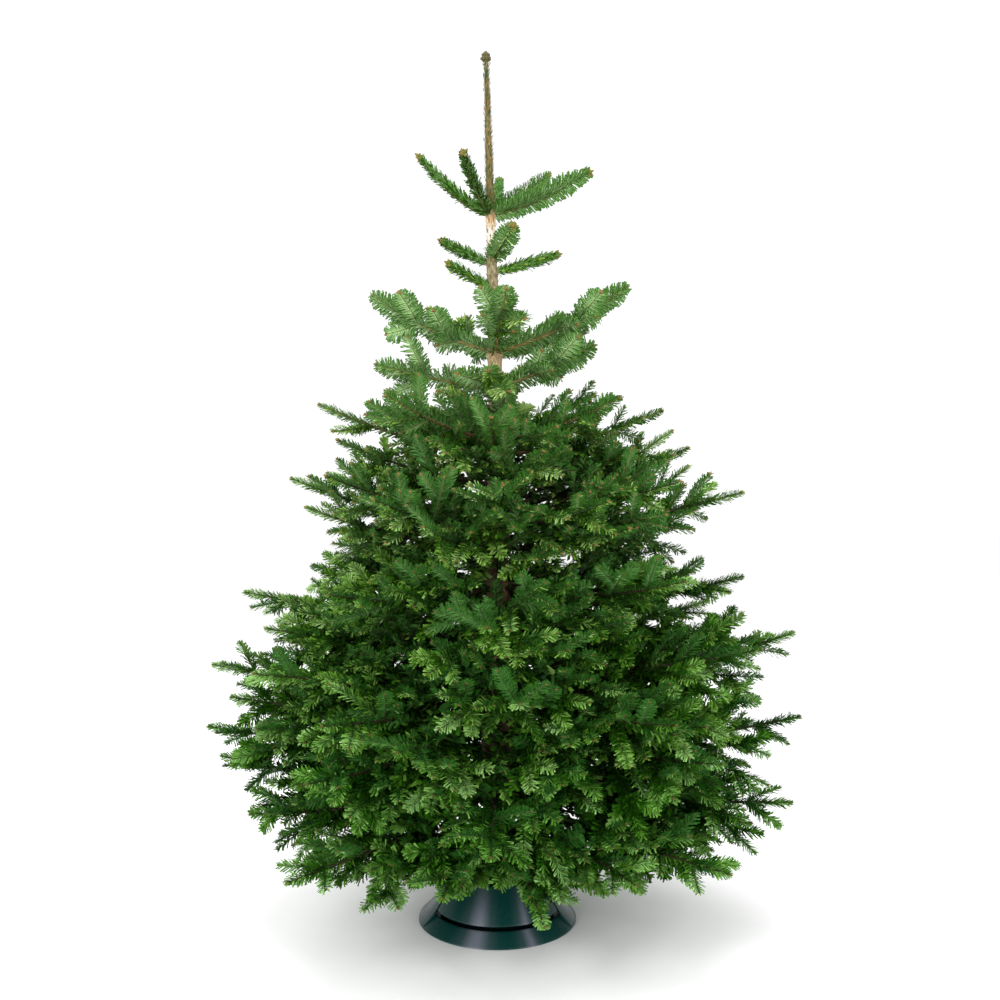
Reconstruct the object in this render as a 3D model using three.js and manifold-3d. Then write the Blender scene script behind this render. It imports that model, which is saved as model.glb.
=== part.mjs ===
// A cut fir, a little over two metres tall, standing in a flared plastic stand.
// Millimetres, +Z up, +X to the viewer's right, the viewer on the -Y side.
// The origin is the centre of the stand's flat underside.
import * as THREE from "three";
import { mergeVertices } from "three/addons/utils/BufferGeometryUtils.js";
import Module from "manifold-3d";

const wasm = await Module();
wasm.setup();

// ---- driving dimensions: clearances
const GAP = 0.3; // between pieces that touch on the real thing
const SMOOTHING = 0.5; // edges this near to flat are taken out of a fused mass
const TWIG_CLEARANCE = 2; // least distance from a twig or spray to anything of another piece

// ---- driving dimensions: trunk
const TREE_TOP = 2040; // tip of the leader above the floor
const FOOT_HEIGHT = 14.5; // flat cut of the trunk, on the floor of the stand's basin
const FOOT_RADIUS = 36;
const LEADER_RADIUS = 3.5; // just under the top buds
const TAPER_POWER = 1.15;
const TRUNK_SIDES = 12;
const LEAN = [[0, 0], [1290, 0], [1400, -12], [1540, -15], [1651, -21], [2040, -27]]; // height, X
const BUD_LENGTH = 15;
const BUD_RADIUS = 4.5;
const BUD_COUNT = 5; // round the one in the middle

// ---- driving dimensions: twigs and their sprays of needles
const SEED = 20417;
const NODE_SPACING = 190; // along a limb, from one pair of side twigs to the next
const TWIG_ANGLE = 50; // between a side twig and its limb, degrees
const TWIG_SPREAD = 120; // range of how far side twigs turn up or down round the limb, degrees
const BLADE_ROLL = 140; // range of how far a spray is turned round its own twig, degrees
const TWIG_SHARE = 0.66; // a side twig's length as a share of the way left to the tip
const TWIG_LONGEST = 260;
const FORKED_TWIG = 250; // a side twig longer than this has a second one beside it
const STALK_WIDTH = 7;
const SUNK = 10; // how far a spray on the end of a stem reaches back into it
const STEM_INTO_SPRAY = 0.25; // share of the last spray that the stem runs into
const STEM_SIDES = 4;
const STEM_STEP = 170; // length of one straight piece of a stem
const SHORTEST_SPRAY = 70;
const TRIES = 6; // ways a twig is turned before it is left out
// A broad spray of several shoots fills the crown, a slender single shoot shows at the top.
const SPRAY = { length: 172, width: 112, thickness: 10, teeth: 2, fold: -0.1 };
const SHOOT = { length: 110, width: 44, thickness: 8, teeth: 2, fold: 0.12 };

// ---- driving dimensions: limbs. Each tier springs from one node of the trunk, and each
// of its limbs is: azimuth in degrees, reach from the trunk's axis, lift of the tip above
// the node, and how far its own root is shifted up from the node. The first few limbs of a
// tier with bareBoughs are boughs that carry their mass further out.
const TIERS = [
  { name: "tier_1", blade: SHOOT, leafy: 0.24, first: 1,
    node: 1651, swell: 6, curl: 0.7, sag: 0,
    limbs: [[183, 180, 131, 0], [250, 165, 95, 0], [80, 138, 125, 0], [352, 213, 89, 0],
      [42, 178, 125, 8]] },
  { name: "tier_1b", blade: SHOOT, leafy: 0.24, first: 1,
    node: 1500, swell: 0, curl: 0.3, sag: 0,
    limbs: [[293, 120, 47, 46], [167, 133, 59, 36], [195, 114, 47, -18], [12, 143, 47, 17]] },
  { name: "tier_2", blade: SHOOT, leafy: 0.6, first: 0.58, bareBoughs: 3,
    node: 1329, swell: 4, curl: 0.5, sag: 0,
    limbs: [[184, 290, 127, 0], [356, 300, 147, 0], [275, 250, 95, 0], [52, 270, 120, 0],
      [124, 265, 120, 0]] },
  { name: "tier_2b", blade: SHOOT, leafy: 0.5, first: 0.42,
    node: 1232, swell: 0, curl: 0.2, sag: 0,
    limbs: [[180, 282, 60, 6], [350, 225, 92, 12], [265, 215, 30, -6], [82, 230, 60, -10]] },
  { name: "tier_3", blade: SPRAY, leafy: 0.64, first: 0.3,
    node: 1085, swell: 3, curl: 0.3, sag: 8,
    limbs: [[180, 417, 118, 0], [0, 385, 104, 0], [268, 360, 60, 0], [62, 380, 100, 0],
      [121, 370, 100, 0]] },
  { name: "tier_4", blade: SPRAY, leafy: 0.7, first: 0.3,
    node: 920, swell: 3, curl: 0.3, sag: 14,
    limbs: [[178, 487, 110, 0], [7, 420, 190, 34], [344, 560, 84, -8], [90, 450, 100, 0],
      [236, 440, 60, 0], [300, 440, 50, 6]] },
  { name: "tier_5", blade: SPRAY, leafy: 0.74, first: 0.3,
    node: 735, swell: 3, curl: 0.4, sag: 20,
    limbs: [[181, 590, 28, 0], [358, 570, 66, 0], [268, 530, 10, 0], [60, 555, 50, 0],
      [120, 555, 50, 0]] },
  { name: "tier_6", blade: SPRAY, leafy: 0.77, first: 0.28,
    node: 560, swell: 3, curl: 0.5, sag: 26,
    limbs: [[179, 671, 30, 0], [2, 703, 104, 0], [238, 610, 0, 0], [303, 610, 0, 0],
      [90, 620, 30, 0]] },
  { name: "tier_7", blade: SPRAY, leafy: 0.77, first: 0.28,
    node: 430, swell: 3, curl: 0.5, sag: 26,
    limbs: [[182, 672, 22, 0], [356, 698, 50, 0], [269, 585, -90, 0], [60, 630, 0, 0],
      [121, 630, 0, 0]] },
  { name: "tier_8", blade: SPRAY, leafy: 0.77, first: 0.28,
    node: 300, swell: 2, curl: 0.5, sag: 20,
    limbs: [[177, 658, 55, 14], [228, 600, -55, 0], [281, 470, -125, -8], [320, 600, -62, 0],
      [350, 668, -22, 24], [36, 610, -30, 0], [104, 600, -30, 0]] },
];
const BOUGH_SHARE = 0.54; // of a limb's reach, where its bare bough ends and its mass begins
const LIMB_ROOT_RADIUS = 1.0; // plus LIMB_STOUTNESS of the reach
const LIMB_STOUTNESS = 0.0125;
const LIMB_TIP_RADIUS = 1.7;

// ---- driving dimensions: stand
const STAND_SEGMENTS = 24;
const BASE_RADIUS = 185; // widest, at the floor
const BASE_EDGE = 5; // height of its upright edge
const BASE_FLOOR = 8; // thickness of its floor
const SKIRT_TOP = [152, 27]; // radius and height where the sloping skirt ends
const SKIRT_WALL = 5;
const LIP = [152, 33]; // lower edge of the bell, just above the skirt
const RIM = [108, 108]; // top edge of the bell
const RIM_WALL = 4;
const BASIN_FLOOR = 14.2; // top of the basin's floor, which the trunk stands on
const BASIN_RADIUS = 92;
const WALL = 4;
const FLARE_WIDTH = 46; // degrees, one on the left and one on the right
const FLARE_RISE = 10; // how far it stands out from the bell at the top
const COLLAR_RADIUS = 66; // outside of the ring that holds the clamp screws
const COLLAR_TOP = 78;
const SCREW_HEIGHT = 62;
const SCREW_RADIUS = 4;
const SCREW_LENGTH = 50;
const SCREW_COUNT = 3;

// ---- materials
const bark = new THREE.MeshStandardMaterial({ color: 0x8a6f55, roughness: 0.9, metalness: 0 });
const twigBark = new THREE.MeshStandardMaterial({ color: 0x6b5a35, roughness: 0.85, metalness: 0 });
const foliage = new THREE.MeshStandardMaterial({ color: 0x2f6b22, roughness: 0.6, metalness: 0 });
const plastic = new THREE.MeshStandardMaterial({ color: 0x0b3531, roughness: 0.3, metalness: 0 });
const steel = new THREE.MeshStandardMaterial({ color: 0x9a9c9e, roughness: 0.4, metalness: 1 });

// ---- solids from geometries

// A closed geometry as a solid that can be joined and cut.
function solidOf(geometry) {
  const bare = geometry.clone();
  bare.deleteAttribute("normal");
  bare.deleteAttribute("uv");
  const merged = mergeVertices(bare, 1e-3);
  const corners = merged.index.array;
  const faces = [];
  for (let i = 0; i < corners.length; i += 3) {
    const [a, b, c] = corners.slice(i, i + 3);
    if (a !== b && b !== c && c !== a) faces.push(a, b, c);
  }
  const vertProperties = new Float32Array(merged.attributes.position.array);
  const build = (triVerts) => new wasm.Manifold(
    new wasm.Mesh({ numProp: 3, vertProperties, triVerts: new Uint32Array(triVerts) }),
  );
  const solid = build(faces);
  return solid.volume() > 0 ? solid : build(faces.reverse());
}

// The largest single body of a solid, as a named mesh.
function meshOf(name, solid, material) {
  const bodies = solid.decompose();
  bodies.sort((a, b) => b.volume() - a.volume());
  const { vertProperties, triVerts } = bodies[0].getMesh();
  const geometry = new THREE.BufferGeometry();
  geometry.setAttribute("position", new THREE.BufferAttribute(vertProperties, 3));
  geometry.setIndex(new THREE.BufferAttribute(triVerts, 1));
  geometry.computeVertexNormals();
  const mesh = new THREE.Mesh(geometry, material);
  mesh.name = name;
  return mesh;
}

// A solid of revolution about Z from a profile of [radius, height] points, which starts and
// ends on the axis or is closed here into a ring.
function turned(profile, segments = STAND_SEGMENTS) {
  const points = profile.map(([radius, height]) => new THREE.Vector2(radius, height));
  if (points[0].x > 0) points.push(points[0].clone());
  const geometry = new THREE.LatheGeometry(points, segments);
  geometry.rotateX(Math.PI / 2);
  return solidOf(geometry);
}

// A round bar bent along a path. The path and the radius are functions of 0..1, and
// stops are the places along it that get a ring of points.
function bar(pathAt, radiusAt, stops, sides) {
  const steps = stops.length - 1;
  const geometry = new THREE.CylinderGeometry(1, 1, 1, sides, steps);
  const position = geometry.attributes.position;
  const corner = new THREE.Vector3();
  for (let i = 0; i < position.count; i += 1) {
    corner.fromBufferAttribute(position, i);
    const along = stops[Math.round((corner.y + 0.5) * steps)];
    const frame = frameAt(pathAt, along);
    const radius = radiusAt(along);
    const place = pathAt(along)
      .addScaledVector(frame.side, corner.x * radius)
      .addScaledVector(frame.over, -corner.z * radius);
    position.setXYZ(i, place.x, place.y, place.z);
  }
  return solidOf(geometry);
}

// Which way a path runs at one place, and two directions square to that.
function frameAt(pathAt, along) {
  const step = 1e-3;
  const ahead = pathAt(along + step).sub(pathAt(along - step)).normalize();
  const reference = Math.abs(ahead.z) > 0.95 ? new THREE.Vector3(0, 1, 0) : new THREE.Vector3(0, 0, 1);
  const side = new THREE.Vector3().crossVectors(ahead, reference).normalize();
  const over = new THREE.Vector3().crossVectors(side, ahead);
  return { ahead, side, over };
}

// Evenly spaced places from one to another.
function spaced(from, to, count) {
  return Array.from({ length: count + 1 }, (_, i) => from + ((to - from) * i) / count);
}

// A small repeatable random number generator.
function randomFrom(seed) {
  let state = seed;
  return () => {
    state = (state + 0x6d2b79f5) | 0;
    let mixed = Math.imul(state ^ (state >>> 15), 1 | state);
    mixed = (mixed + Math.imul(mixed ^ (mixed >>> 7), 61 | mixed)) ^ mixed;
    return ((mixed ^ (mixed >>> 14)) >>> 0) / 4294967296;
  };
}

// ---- trunk

// How far the trunk's axis stands to the side at a height.
function leanAt(height) {
  for (let i = 1; i < LEAN.length; i += 1) {
    const [low, from] = LEAN[i - 1];
    const [high, to] = LEAN[i];
    if (height <= high) return from + ((to - from) * Math.max(0, height - low)) / (high - low);
  }
  return LEAN[LEAN.length - 1][1];
}

// The trunk tapers all the way up and swells a little at each whorl.
function trunkRadiusAt(height) {
  const left = Math.max(0, 1 - height / TREE_TOP);
  const taper = LEADER_RADIUS + (FOOT_RADIUS - LEADER_RADIUS) * left ** TAPER_POWER;
  const swells = TIERS.map(({ node, swell }) => swell * Math.exp(-(((height - node) / 13) ** 2)));
  return taper + swells.reduce((sum, one) => sum + one, 0);
}

function trunkSolid(extra = 0) {
  const crown = TREE_TOP - BUD_LENGTH;
  const heights = [FOOT_HEIGHT - extra, 300, 735, 1085, 1290, 1400, 1540, 1610, 1800, crown];
  TIERS.filter(({ swell }) => swell > 3).forEach(({ node }) => heights.push(node - 14, node, node + 14));
  heights.sort((a, b) => a - b);
  const span = crown + extra;
  const pathAt = (along) => new THREE.Vector3(leanAt(along * span), 0, along * span);
  const stops = heights.map((height) => height / span);
  return bar(pathAt, (along) => trunkRadiusAt(along * span) + extra, stops, TRUNK_SIDES);
}

// The buds that close the leader: one upright and a ring of them leaning out.
function topBuds() {
  const foot = TREE_TOP - BUD_LENGTH - 4;
  const buds = [];
  for (let i = 0; i <= BUD_COUNT; i += 1) {
    const bud = new THREE.SphereGeometry(1, 5, 3);
    bud.rotateX(Math.PI / 2);
    bud.scale(BUD_RADIUS, BUD_RADIUS, BUD_LENGTH / 2);
    bud.translate(0, 0, BUD_LENGTH / 2);
    if (i < BUD_COUNT) {
      bud.rotateY(0.75);
      bud.rotateZ((2 * Math.PI * i) / BUD_COUNT);
    } else {
      bud.translate(0, 0, 4);
    }
    bud.translate(leanAt(TREE_TOP), 0, foot);
    buds.push(solidOf(bud));
  }
  return wasm.Manifold.union(buds);
}

// ---- limbs

// The whole run of a limb, from inside the trunk (0) to its tip (1).
function limbOf(tier, [azimuth, reach, lift, shift]) {
  const turn = THREE.MathUtils.degToRad(azimuth);
  const out = new THREE.Vector3(Math.cos(turn), Math.sin(turn), 0);
  const foot = tier.node + shift;
  const start = trunkRadiusAt(foot) * 0.5;
  const root = new THREE.Vector3(leanAt(foot), 0, foot);
  const reachFromNode = reach + out.x * (0 - leanAt(foot));
  const pathAt = (along) => {
    const rise = lift * ((1 - tier.curl) * along + tier.curl * along * along);
    const sag = tier.sag * Math.sin(Math.PI * Math.min(1, Math.max(0, along)));
    const distance = start + (reachFromNode - start) * along;
    return root.clone().addScaledVector(out, distance).add(new THREE.Vector3(0, 0, rise - sag));
  };
  const thick = LIMB_ROOT_RADIUS + LIMB_STOUTNESS * reach;
  const radiusAt = (along) => thick + (LIMB_TIP_RADIUS - thick) * Math.min(1, Math.max(0, along));
  return { pathAt, radiusAt, reach: reachFromNode, out };
}

// ---- sprays of needles

// A toothed blade on a narrow stalk, thick in the middle and sharp all round, with its
// teeth pointing forward. It is a fan of triangles above and one below, round one middle
// point each.
function spray(root, ahead, over, { width, thickness, teeth, fold }, length, stalk) {
  const side = new THREE.Vector3().crossVectors(ahead, over).normalize();
  const up = new THREE.Vector3().crossVectors(side, ahead).normalize();
  const edge = [[0, STALK_WIDTH / 2]];
  if (stalk > STALK_WIDTH) edge.push([stalk, STALK_WIDTH * 0.6]);
  for (let i = 0; i < teeth; i += 1) {
    const at = (i + 0.75) / (teeth + 0.6);
    const half = (width / 2) * (1 - 0.55 * (i / teeth) ** 2);
    edge.push([stalk + length * at, half], [stalk + length * (at + 0.06), half * 0.52]);
  }
  const farEdge = edge.map(([x, y]) => [x, -y]).reverse();
  const outline = [...edge, [stalk + length, 0], ...farEdge];
  const placeOf = (x, y, lift) => root.clone()
    .addScaledVector(ahead, x)
    .addScaledVector(side, -y)
    .addScaledVector(up, lift + fold * Math.abs(y));
  const points = outline.map(([x, y]) => placeOf(x, y, 0));
  const middle = stalk + length * 0.44;
  const above = points.length;
  const below = above + 1;
  points.push(placeOf(middle, 0, thickness / 2), placeOf(middle, 0, -thickness / 2));
  const triangles = [];
  for (let i = 0; i < outline.length; i += 1) {
    const next = (i + 1) % outline.length;
    triangles.push(above, i, next, below, next, i);
  }
  const geometry = new THREE.BufferGeometry().setFromPoints(points);
  geometry.setIndex(triangles);
  return solidOf(geometry);
}

// A spray that grows from inside a limb out to a given reach. Its probe is the outer
// part alone, which has to stay clear of the other sprays of the same mass too.
function sprayFrom(from, ahead, over, reach, blade, sunk) {
  const length = Math.max(SHORTEST_SPRAY, Math.min(blade.length, reach * 0.85));
  const stalk = Math.max(0, reach - length) + sunk;
  const root = from.clone().addScaledVector(ahead, -sunk);
  const probeRoot = root.clone().addScaledVector(ahead, stalk + length * 0.4);
  return {
    grown: spray(root, ahead, over, blade, length, stalk),
    probe: spray(probeRoot, ahead, over, blade, length * 0.6, 0),
  };
}

// ---- masses of foliage: each keeps clear of everything else that is in place

const inPlace = [];

function keep(owner, solid) {
  inPlace.push({ owner, solid, box: solid.boundingBox() });
}

function boxesApart(one, other) {
  return [0, 1, 2].some((k) => one.min[k] > other.max[k] + TWIG_CLEARANCE
    || other.min[k] > one.max[k] + TWIG_CLEARANCE);
}

// Whether a solid is clear of the pieces in place that belong to others, or to its owner.
function isClear(solid, concerns) {
  const box = solid.boundingBox();
  return inPlace.filter(concerns).every((other) => boxesApart(box, other.box)
    || solid.minGap(other.solid, TWIG_CLEARANCE) >= TWIG_CLEARANCE);
}

// A direction turned away from ahead by an angle, to one hand, and rolled a little.
function turnedAway({ ahead, side, over }, hand, angle, roll) {
  const out = side.clone().multiplyScalar(hand * Math.cos(roll)).addScaledVector(over, Math.sin(roll));
  return ahead.clone().multiplyScalar(Math.cos(angle)).addScaledVector(out, Math.sin(angle));
}

// Where the sprays along the leafy outer part of a limb begin and end.
function leafyStops(tier, limb) {
  const room = limb.reach * (1 - tier.leafy);
  return spaced(tier.leafy, 1, Math.max(1, Math.round(room / tier.blade.length)));
}

// The sprays along the outer part of a mass's own stem, the outermost one first.
function stemSprays({ tier, limb }) {
  const stops = leafyStops(tier, limb);
  return stops.slice(0, -1).map((along, i) => () => {
    const root = limb.pathAt(along);
    const way = limb.pathAt(stops[i + 1]).sub(root);
    const reach = way.length();
    way.normalize();
    const { over } = frameAt(limb.pathAt, along);
    return sprayFrom(root, way, over, reach, tier.blade, SUNK);
  }).reverse();
}

// The side twigs of a mass, the outermost first: a pair at each node of the stem, longer
// the further they are from its tip, and beside each long one a second that points forward.
function sideTwigs({ tier, limb, random }) {
  const room = limb.reach * (1 - tier.first);
  const nodes = tier.first < 1 ? Math.max(1, Math.round(room / NODE_SPACING)) : 0;
  const turn = (range) => THREE.MathUtils.degToRad(range * (random() - 0.5));
  const grow = (along, hand, lean, length) => () => {
    const frame = frameAt(limb.pathAt, along);
    const angle = THREE.MathUtils.degToRad(TWIG_ANGLE) * lean + turn(14);
    const way = turnedAway(frame, hand, angle, turn(TWIG_SPREAD));
    const over = frame.over.clone().applyAxisAngle(way, turn(BLADE_ROLL));
    return sprayFrom(limb.pathAt(along), way, over, length, tier.blade, limb.radiusAt(along) * 0.4);
  };
  const twigs = [];
  for (let i = nodes - 1; i >= 0; i -= 1) {
    const along = tier.first + ((1 - tier.first) * (i + 0.2)) / nodes;
    const left = limb.reach * (1 - along);
    for (const hand of [-1, 1]) {
      const length = Math.min(TWIG_LONGEST, TWIG_SHARE * left * (0.9 + 0.25 * random()));
      twigs.push(grow(along, hand, 1, length));
      if (length > FORKED_TWIG) twigs.push(grow(along, hand, 0.4, length * 0.9));
    }
  }
  return twigs;
}

// ---- stand

function standBase() {
  const [top, topHeight] = SKIRT_TOP;
  const well = top - SKIRT_WALL;
  const skirt = turned([[0, 0], [BASE_RADIUS, 0], [BASE_RADIUS, BASE_EDGE], [top, topHeight],
    [well, topHeight], [well, BASE_FLOOR], [0, BASE_FLOOR]]);
  const flares = [0, Math.PI].map((turn) => flare(turn));
  return wasm.Manifold.union([skirt, ...flares]);
}

// A broad rib that sweeps from the base's edge up to the bell's rim, on one side.
function flare(turn) {
  const clear = GAP * 1.5;
  const back = SKIRT_TOP[0] - 2;
  const ring = turned([[BASE_RADIUS - 1, BASE_EDGE], [172, 25], [143, 68], [124, 101],
    [RIM[0] + FLARE_RISE, RIM[1]], [RIM[0] + clear, RIM[1]], [LIP[0] + clear, LIP[1]],
    [LIP[0] + clear, SKIRT_TOP[1] - 1], [back, SKIRT_TOP[1] - 5], [back, BASE_EDGE]]);
  const half = THREE.MathUtils.degToRad(FLARE_WIDTH / 2);
  const far = BASE_RADIUS * 1.5;
  const sector = new THREE.Shape([new THREE.Vector2(0, 0),
    new THREE.Vector2(far * Math.cos(half), -far * Math.sin(half)),
    new THREE.Vector2(far * Math.cos(half), far * Math.sin(half))]);
  const wedge = new THREE.ExtrudeGeometry(sector, { depth: RIM[1] * 2, bevelEnabled: false });
  wedge.rotateZ(turn);
  return ring.intersect(solidOf(wedge));
}

// One shell: the sloping bell outside, a basin for the trunk and its water inside, and
// an open space under it between the two.
function standBell() {
  const foot = BASE_FLOOR + GAP;
  const neck = SKIRT_TOP[0] - SKIRT_WALL - 3;
  const shell = turned([[0, BASIN_FLOOR], [BASIN_RADIUS - 5, BASIN_FLOOR], [BASIN_RADIUS, 20],
    [RIM[0] - RIM_WALL - 1, RIM[1] - 3], [RIM[0] - 2, RIM[1] + 1], RIM, LIP, [LIP[0] - 2, LIP[1] - 3],
    [neck, LIP[1] - 4], [neck, foot], [neck - WALL, foot], [neck - WALL, LIP[1] + 2],
    [RIM[0] - 6, RIM[1] - 12], [BASIN_RADIUS + WALL, 20], [BASIN_RADIUS - 1, foot], [0, foot]]);
  const collar = turned([[COLLAR_RADIUS - WALL * 2, BASIN_FLOOR - 2], [COLLAR_RADIUS, BASIN_FLOOR - 2],
    [COLLAR_RADIUS, COLLAR_TOP], [COLLAR_RADIUS - WALL * 2, COLLAR_TOP]], 16);
  const holes = screwAzimuths().map((turn) => {
    const hole = new THREE.CylinderGeometry(SCREW_RADIUS + 0.4, SCREW_RADIUS + 0.4, 20, 8);
    hole.rotateZ(Math.PI / 2);
    hole.translate(COLLAR_RADIUS - WALL, 0, SCREW_HEIGHT);
    hole.rotateZ(turn);
    return solidOf(hole);
  });
  return shell.add(collar).subtract(wasm.Manifold.union(holes));
}

function screwAzimuths() {
  return spaced(Math.PI / 6, Math.PI / 6 + 2 * Math.PI, SCREW_COUNT).slice(0, SCREW_COUNT);
}

// A clamp screw whose inner end bears on the trunk, with a thick round head.
function clampScrew(turn, trunkClearance) {
  const start = trunkRadiusAt(SCREW_HEIGHT) - 4;
  const shank = new THREE.CylinderGeometry(SCREW_RADIUS, SCREW_RADIUS, SCREW_LENGTH, 8);
  const head = new THREE.CylinderGeometry(SCREW_RADIUS * 2.2, SCREW_RADIUS * 2.2, 7, 8);
  shank.rotateZ(Math.PI / 2);
  head.rotateZ(Math.PI / 2);
  shank.translate(start + SCREW_LENGTH / 2, 0, SCREW_HEIGHT);
  head.translate(start + SCREW_LENGTH, 0, SCREW_HEIGHT);
  shank.rotateZ(turn);
  head.rotateZ(turn);
  return solidOf(shank).add(solidOf(head)).subtract(trunkClearance);
}

// ---- the whole tree

const tree = new THREE.Group();
const trunk = trunkSolid().add(topBuds());
const trunkClearance = trunkSolid(GAP);
const base = standBase();
const bell = standBell();

tree.add(meshOf("trunk", trunk, bark));
tree.add(meshOf("stand_base", base, plastic));
tree.add(meshOf("stand_bell", bell, plastic));
screwAzimuths().forEach((turn, i) => {
  tree.add(meshOf(`clamp_screw_${i + 1}`, clampScrew(turn, trunkClearance), steel));
});
keep("trunk", trunk);
keep("stand_base", base);
keep("stand_bell", bell);

// Every limb first: the boughs, and the stem of each mass, which stops inside its last spray.
const masses = TIERS.flatMap((tier, t) => tier.limbs.map((place, i) => {
  const name = `${tier.name}_mass_${i + 1}`;
  const limb = limbOf(tier, place);
  const lastSpray = leafyStops(tier, limb).at(-2);
  const stemEnd = lastSpray + (1 - lastSpray) * STEM_INTO_SPRAY;
  let stemStart = 0;
  if (i < (tier.bareBoughs ?? 0)) {
    const bough = bar(limb.pathAt, limb.radiusAt, spaced(0, BOUGH_SHARE, 3), 6).subtract(trunkClearance);
    tree.add(meshOf(`${tier.name}_bough_${i + 1}`, bough, twigBark));
    keep(`${tier.name}_bough_${i + 1}`, bough);
    stemStart = BOUGH_SHARE + GAP / limb.pathAt(1).distanceTo(limb.pathAt(0));
  }
  const pieces = Math.max(2, Math.round((limb.reach * (stemEnd - stemStart)) / STEM_STEP));
  const stops = spaced(stemStart, stemEnd, pieces);
  const stem = bar(limb.pathAt, limb.radiusAt, stops, STEM_SIDES);
  keep(`${name}_stem`, stem.subtract(trunkClearance));
  return { name, tier, limb, stem, random: randomFrom(SEED + 97 * t + 13 * i) };
}));

// Then the sprays, one for each mass in turn, so that no mass takes its neighbour's room.
const plans = masses.map((mass) => {
  const sprays = [...stemSprays(mass), ...sideTwigs(mass)];
  return { mass, sprays, fused: [mass.stem] };
});
const mostSprays = Math.max(...plans.map(({ sprays }) => sprays.length));
for (let turn = 0; turn < mostSprays; turn += 1) {
  for (const { mass, sprays, fused } of plans.filter((plan) => turn < plan.sprays.length)) {
    for (let attempt = 0; attempt < TRIES; attempt += 1) {
      const { grown, probe } = sprays[turn]();
      const own = [mass.name, `${mass.name}_stem`];
      const clear = isClear(grown, ({ owner }) => !own.includes(owner))
        && isClear(probe, ({ owner }) => owner === mass.name);
      if (!clear) continue;
      keep(mass.name, grown);
      fused.push(grown);
      break;
    }
  }
}
plans.forEach(({ mass, fused }) => {
  const whole = wasm.Manifold.union(fused).simplify(SMOOTHING).subtract(trunkClearance);
  tree.add(meshOf(mass.name, whole, foliage));
});

export default tree;
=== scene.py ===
"""A cut fir in its plastic stand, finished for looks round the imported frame.

The frame gives the trunk, the limbs and the stand. Over them this script grows bark with
relief, twigs, needles and buds, turns the stand's shells finely, and sets the stage.
Metres, +Z up, the viewer on the -Y side.
"""

import math
from collections import namedtuple

import bmesh
import bpy
import numpy as np
from mathutils import Matrix, Vector, noise


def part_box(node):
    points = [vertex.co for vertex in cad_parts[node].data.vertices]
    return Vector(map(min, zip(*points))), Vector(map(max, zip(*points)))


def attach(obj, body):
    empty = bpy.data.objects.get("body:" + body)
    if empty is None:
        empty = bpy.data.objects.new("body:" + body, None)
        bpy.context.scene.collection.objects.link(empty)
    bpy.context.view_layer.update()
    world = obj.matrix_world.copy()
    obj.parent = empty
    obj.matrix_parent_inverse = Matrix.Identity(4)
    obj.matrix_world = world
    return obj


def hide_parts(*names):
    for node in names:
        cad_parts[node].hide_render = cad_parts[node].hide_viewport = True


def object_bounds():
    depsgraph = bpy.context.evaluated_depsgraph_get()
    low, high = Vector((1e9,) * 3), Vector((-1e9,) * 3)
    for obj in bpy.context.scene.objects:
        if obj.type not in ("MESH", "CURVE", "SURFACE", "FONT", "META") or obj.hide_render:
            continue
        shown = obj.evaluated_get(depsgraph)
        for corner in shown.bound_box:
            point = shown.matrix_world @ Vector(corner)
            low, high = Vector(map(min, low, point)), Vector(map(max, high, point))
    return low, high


bl_info = {
    "name": "Cut Fir Dresser",
    "version": (1, 0, 0),
    "blender": (4, 5, 0),
    "location": "3D View > Sidebar > Fir",
    "description": "Grows bark, twigs, needles and buds over a framed fir and finishes its stand",
    "category": "Add Mesh",
}

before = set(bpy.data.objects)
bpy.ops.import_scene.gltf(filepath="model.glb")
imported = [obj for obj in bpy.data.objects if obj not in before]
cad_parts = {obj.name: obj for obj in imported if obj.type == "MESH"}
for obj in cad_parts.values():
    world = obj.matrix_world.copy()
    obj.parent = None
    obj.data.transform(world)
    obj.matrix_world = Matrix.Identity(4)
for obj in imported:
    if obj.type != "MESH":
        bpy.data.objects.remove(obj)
CAD_LOW, CAD_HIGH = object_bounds()
TREE_HEIGHT = CAD_HIGH.z - CAD_LOW.z

UP = np.array([0.0, 0.0, 1.0])
GOLDEN_ANGLE = math.pi * (3 - math.sqrt(5))

# ---- the rule that the frame's limbs follow, tier by tier

TierRule = namedtuple("TierRule", "years power curl sag gaps piece")
TIERS = {  # power: below 1 makes a limb's first years its longest
    "tier_1": TierRule(years=1, power=1.0, curl=0.7, sag=0.0, gaps=(), piece="top"),
    "tier_1b": TierRule(years=1, power=1.0, curl=0.3, sag=0.0, gaps=(), piece="top"),
    "tier_2": TierRule(years=2, power=0.7, curl=0.5, sag=0.0, gaps=(), piece="top"),
    "tier_2b": TierRule(years=2, power=0.8, curl=0.2, sag=0.0, gaps=(), piece="top"),
    "tier_3": TierRule(years=3, power=0.9, curl=0.3, sag=0.008, gaps=(0.035, -0.07), piece="tier_3"),
    "tier_4": TierRule(years=4, power=0.9, curl=0.3, sag=0.014, gaps=(0.035, -0.05), piece="tier_4"),
    "tier_5": TierRule(years=5, power=0.9, curl=0.4, sag=0.020, gaps=(0.04, -0.06), piece="tier_5"),
    "tier_6": TierRule(years=6, power=0.9, curl=0.5, sag=0.026, gaps=(0.05, -0.045), piece="tier_6"),
    "tier_7": TierRule(years=6, power=0.9, curl=0.5, sag=0.026, gaps=(0.04,), piece="tier_7"),
    "tier_8": TierRule(years=6, power=0.9, curl=0.5, sag=0.020, gaps=(0.015,), piece="tier_8"),
}
GAP_PLACES = (0.56, 0.20)  # where the gap limbs of a tier stand, from one limb to the next
GAP_LIMB_SHARE = 0.92  # their reach, against the limbs beside them
BACKWARD = np.array([0.0, 1.0, 0.0])
LEANS = {  # of the upper sprays, backward
    "tier_1": 0.8, "tier_1b": 0.9, "tier_2": 0.9, "tier_2b": 0.6, "tier_3": 0.35}
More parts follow.
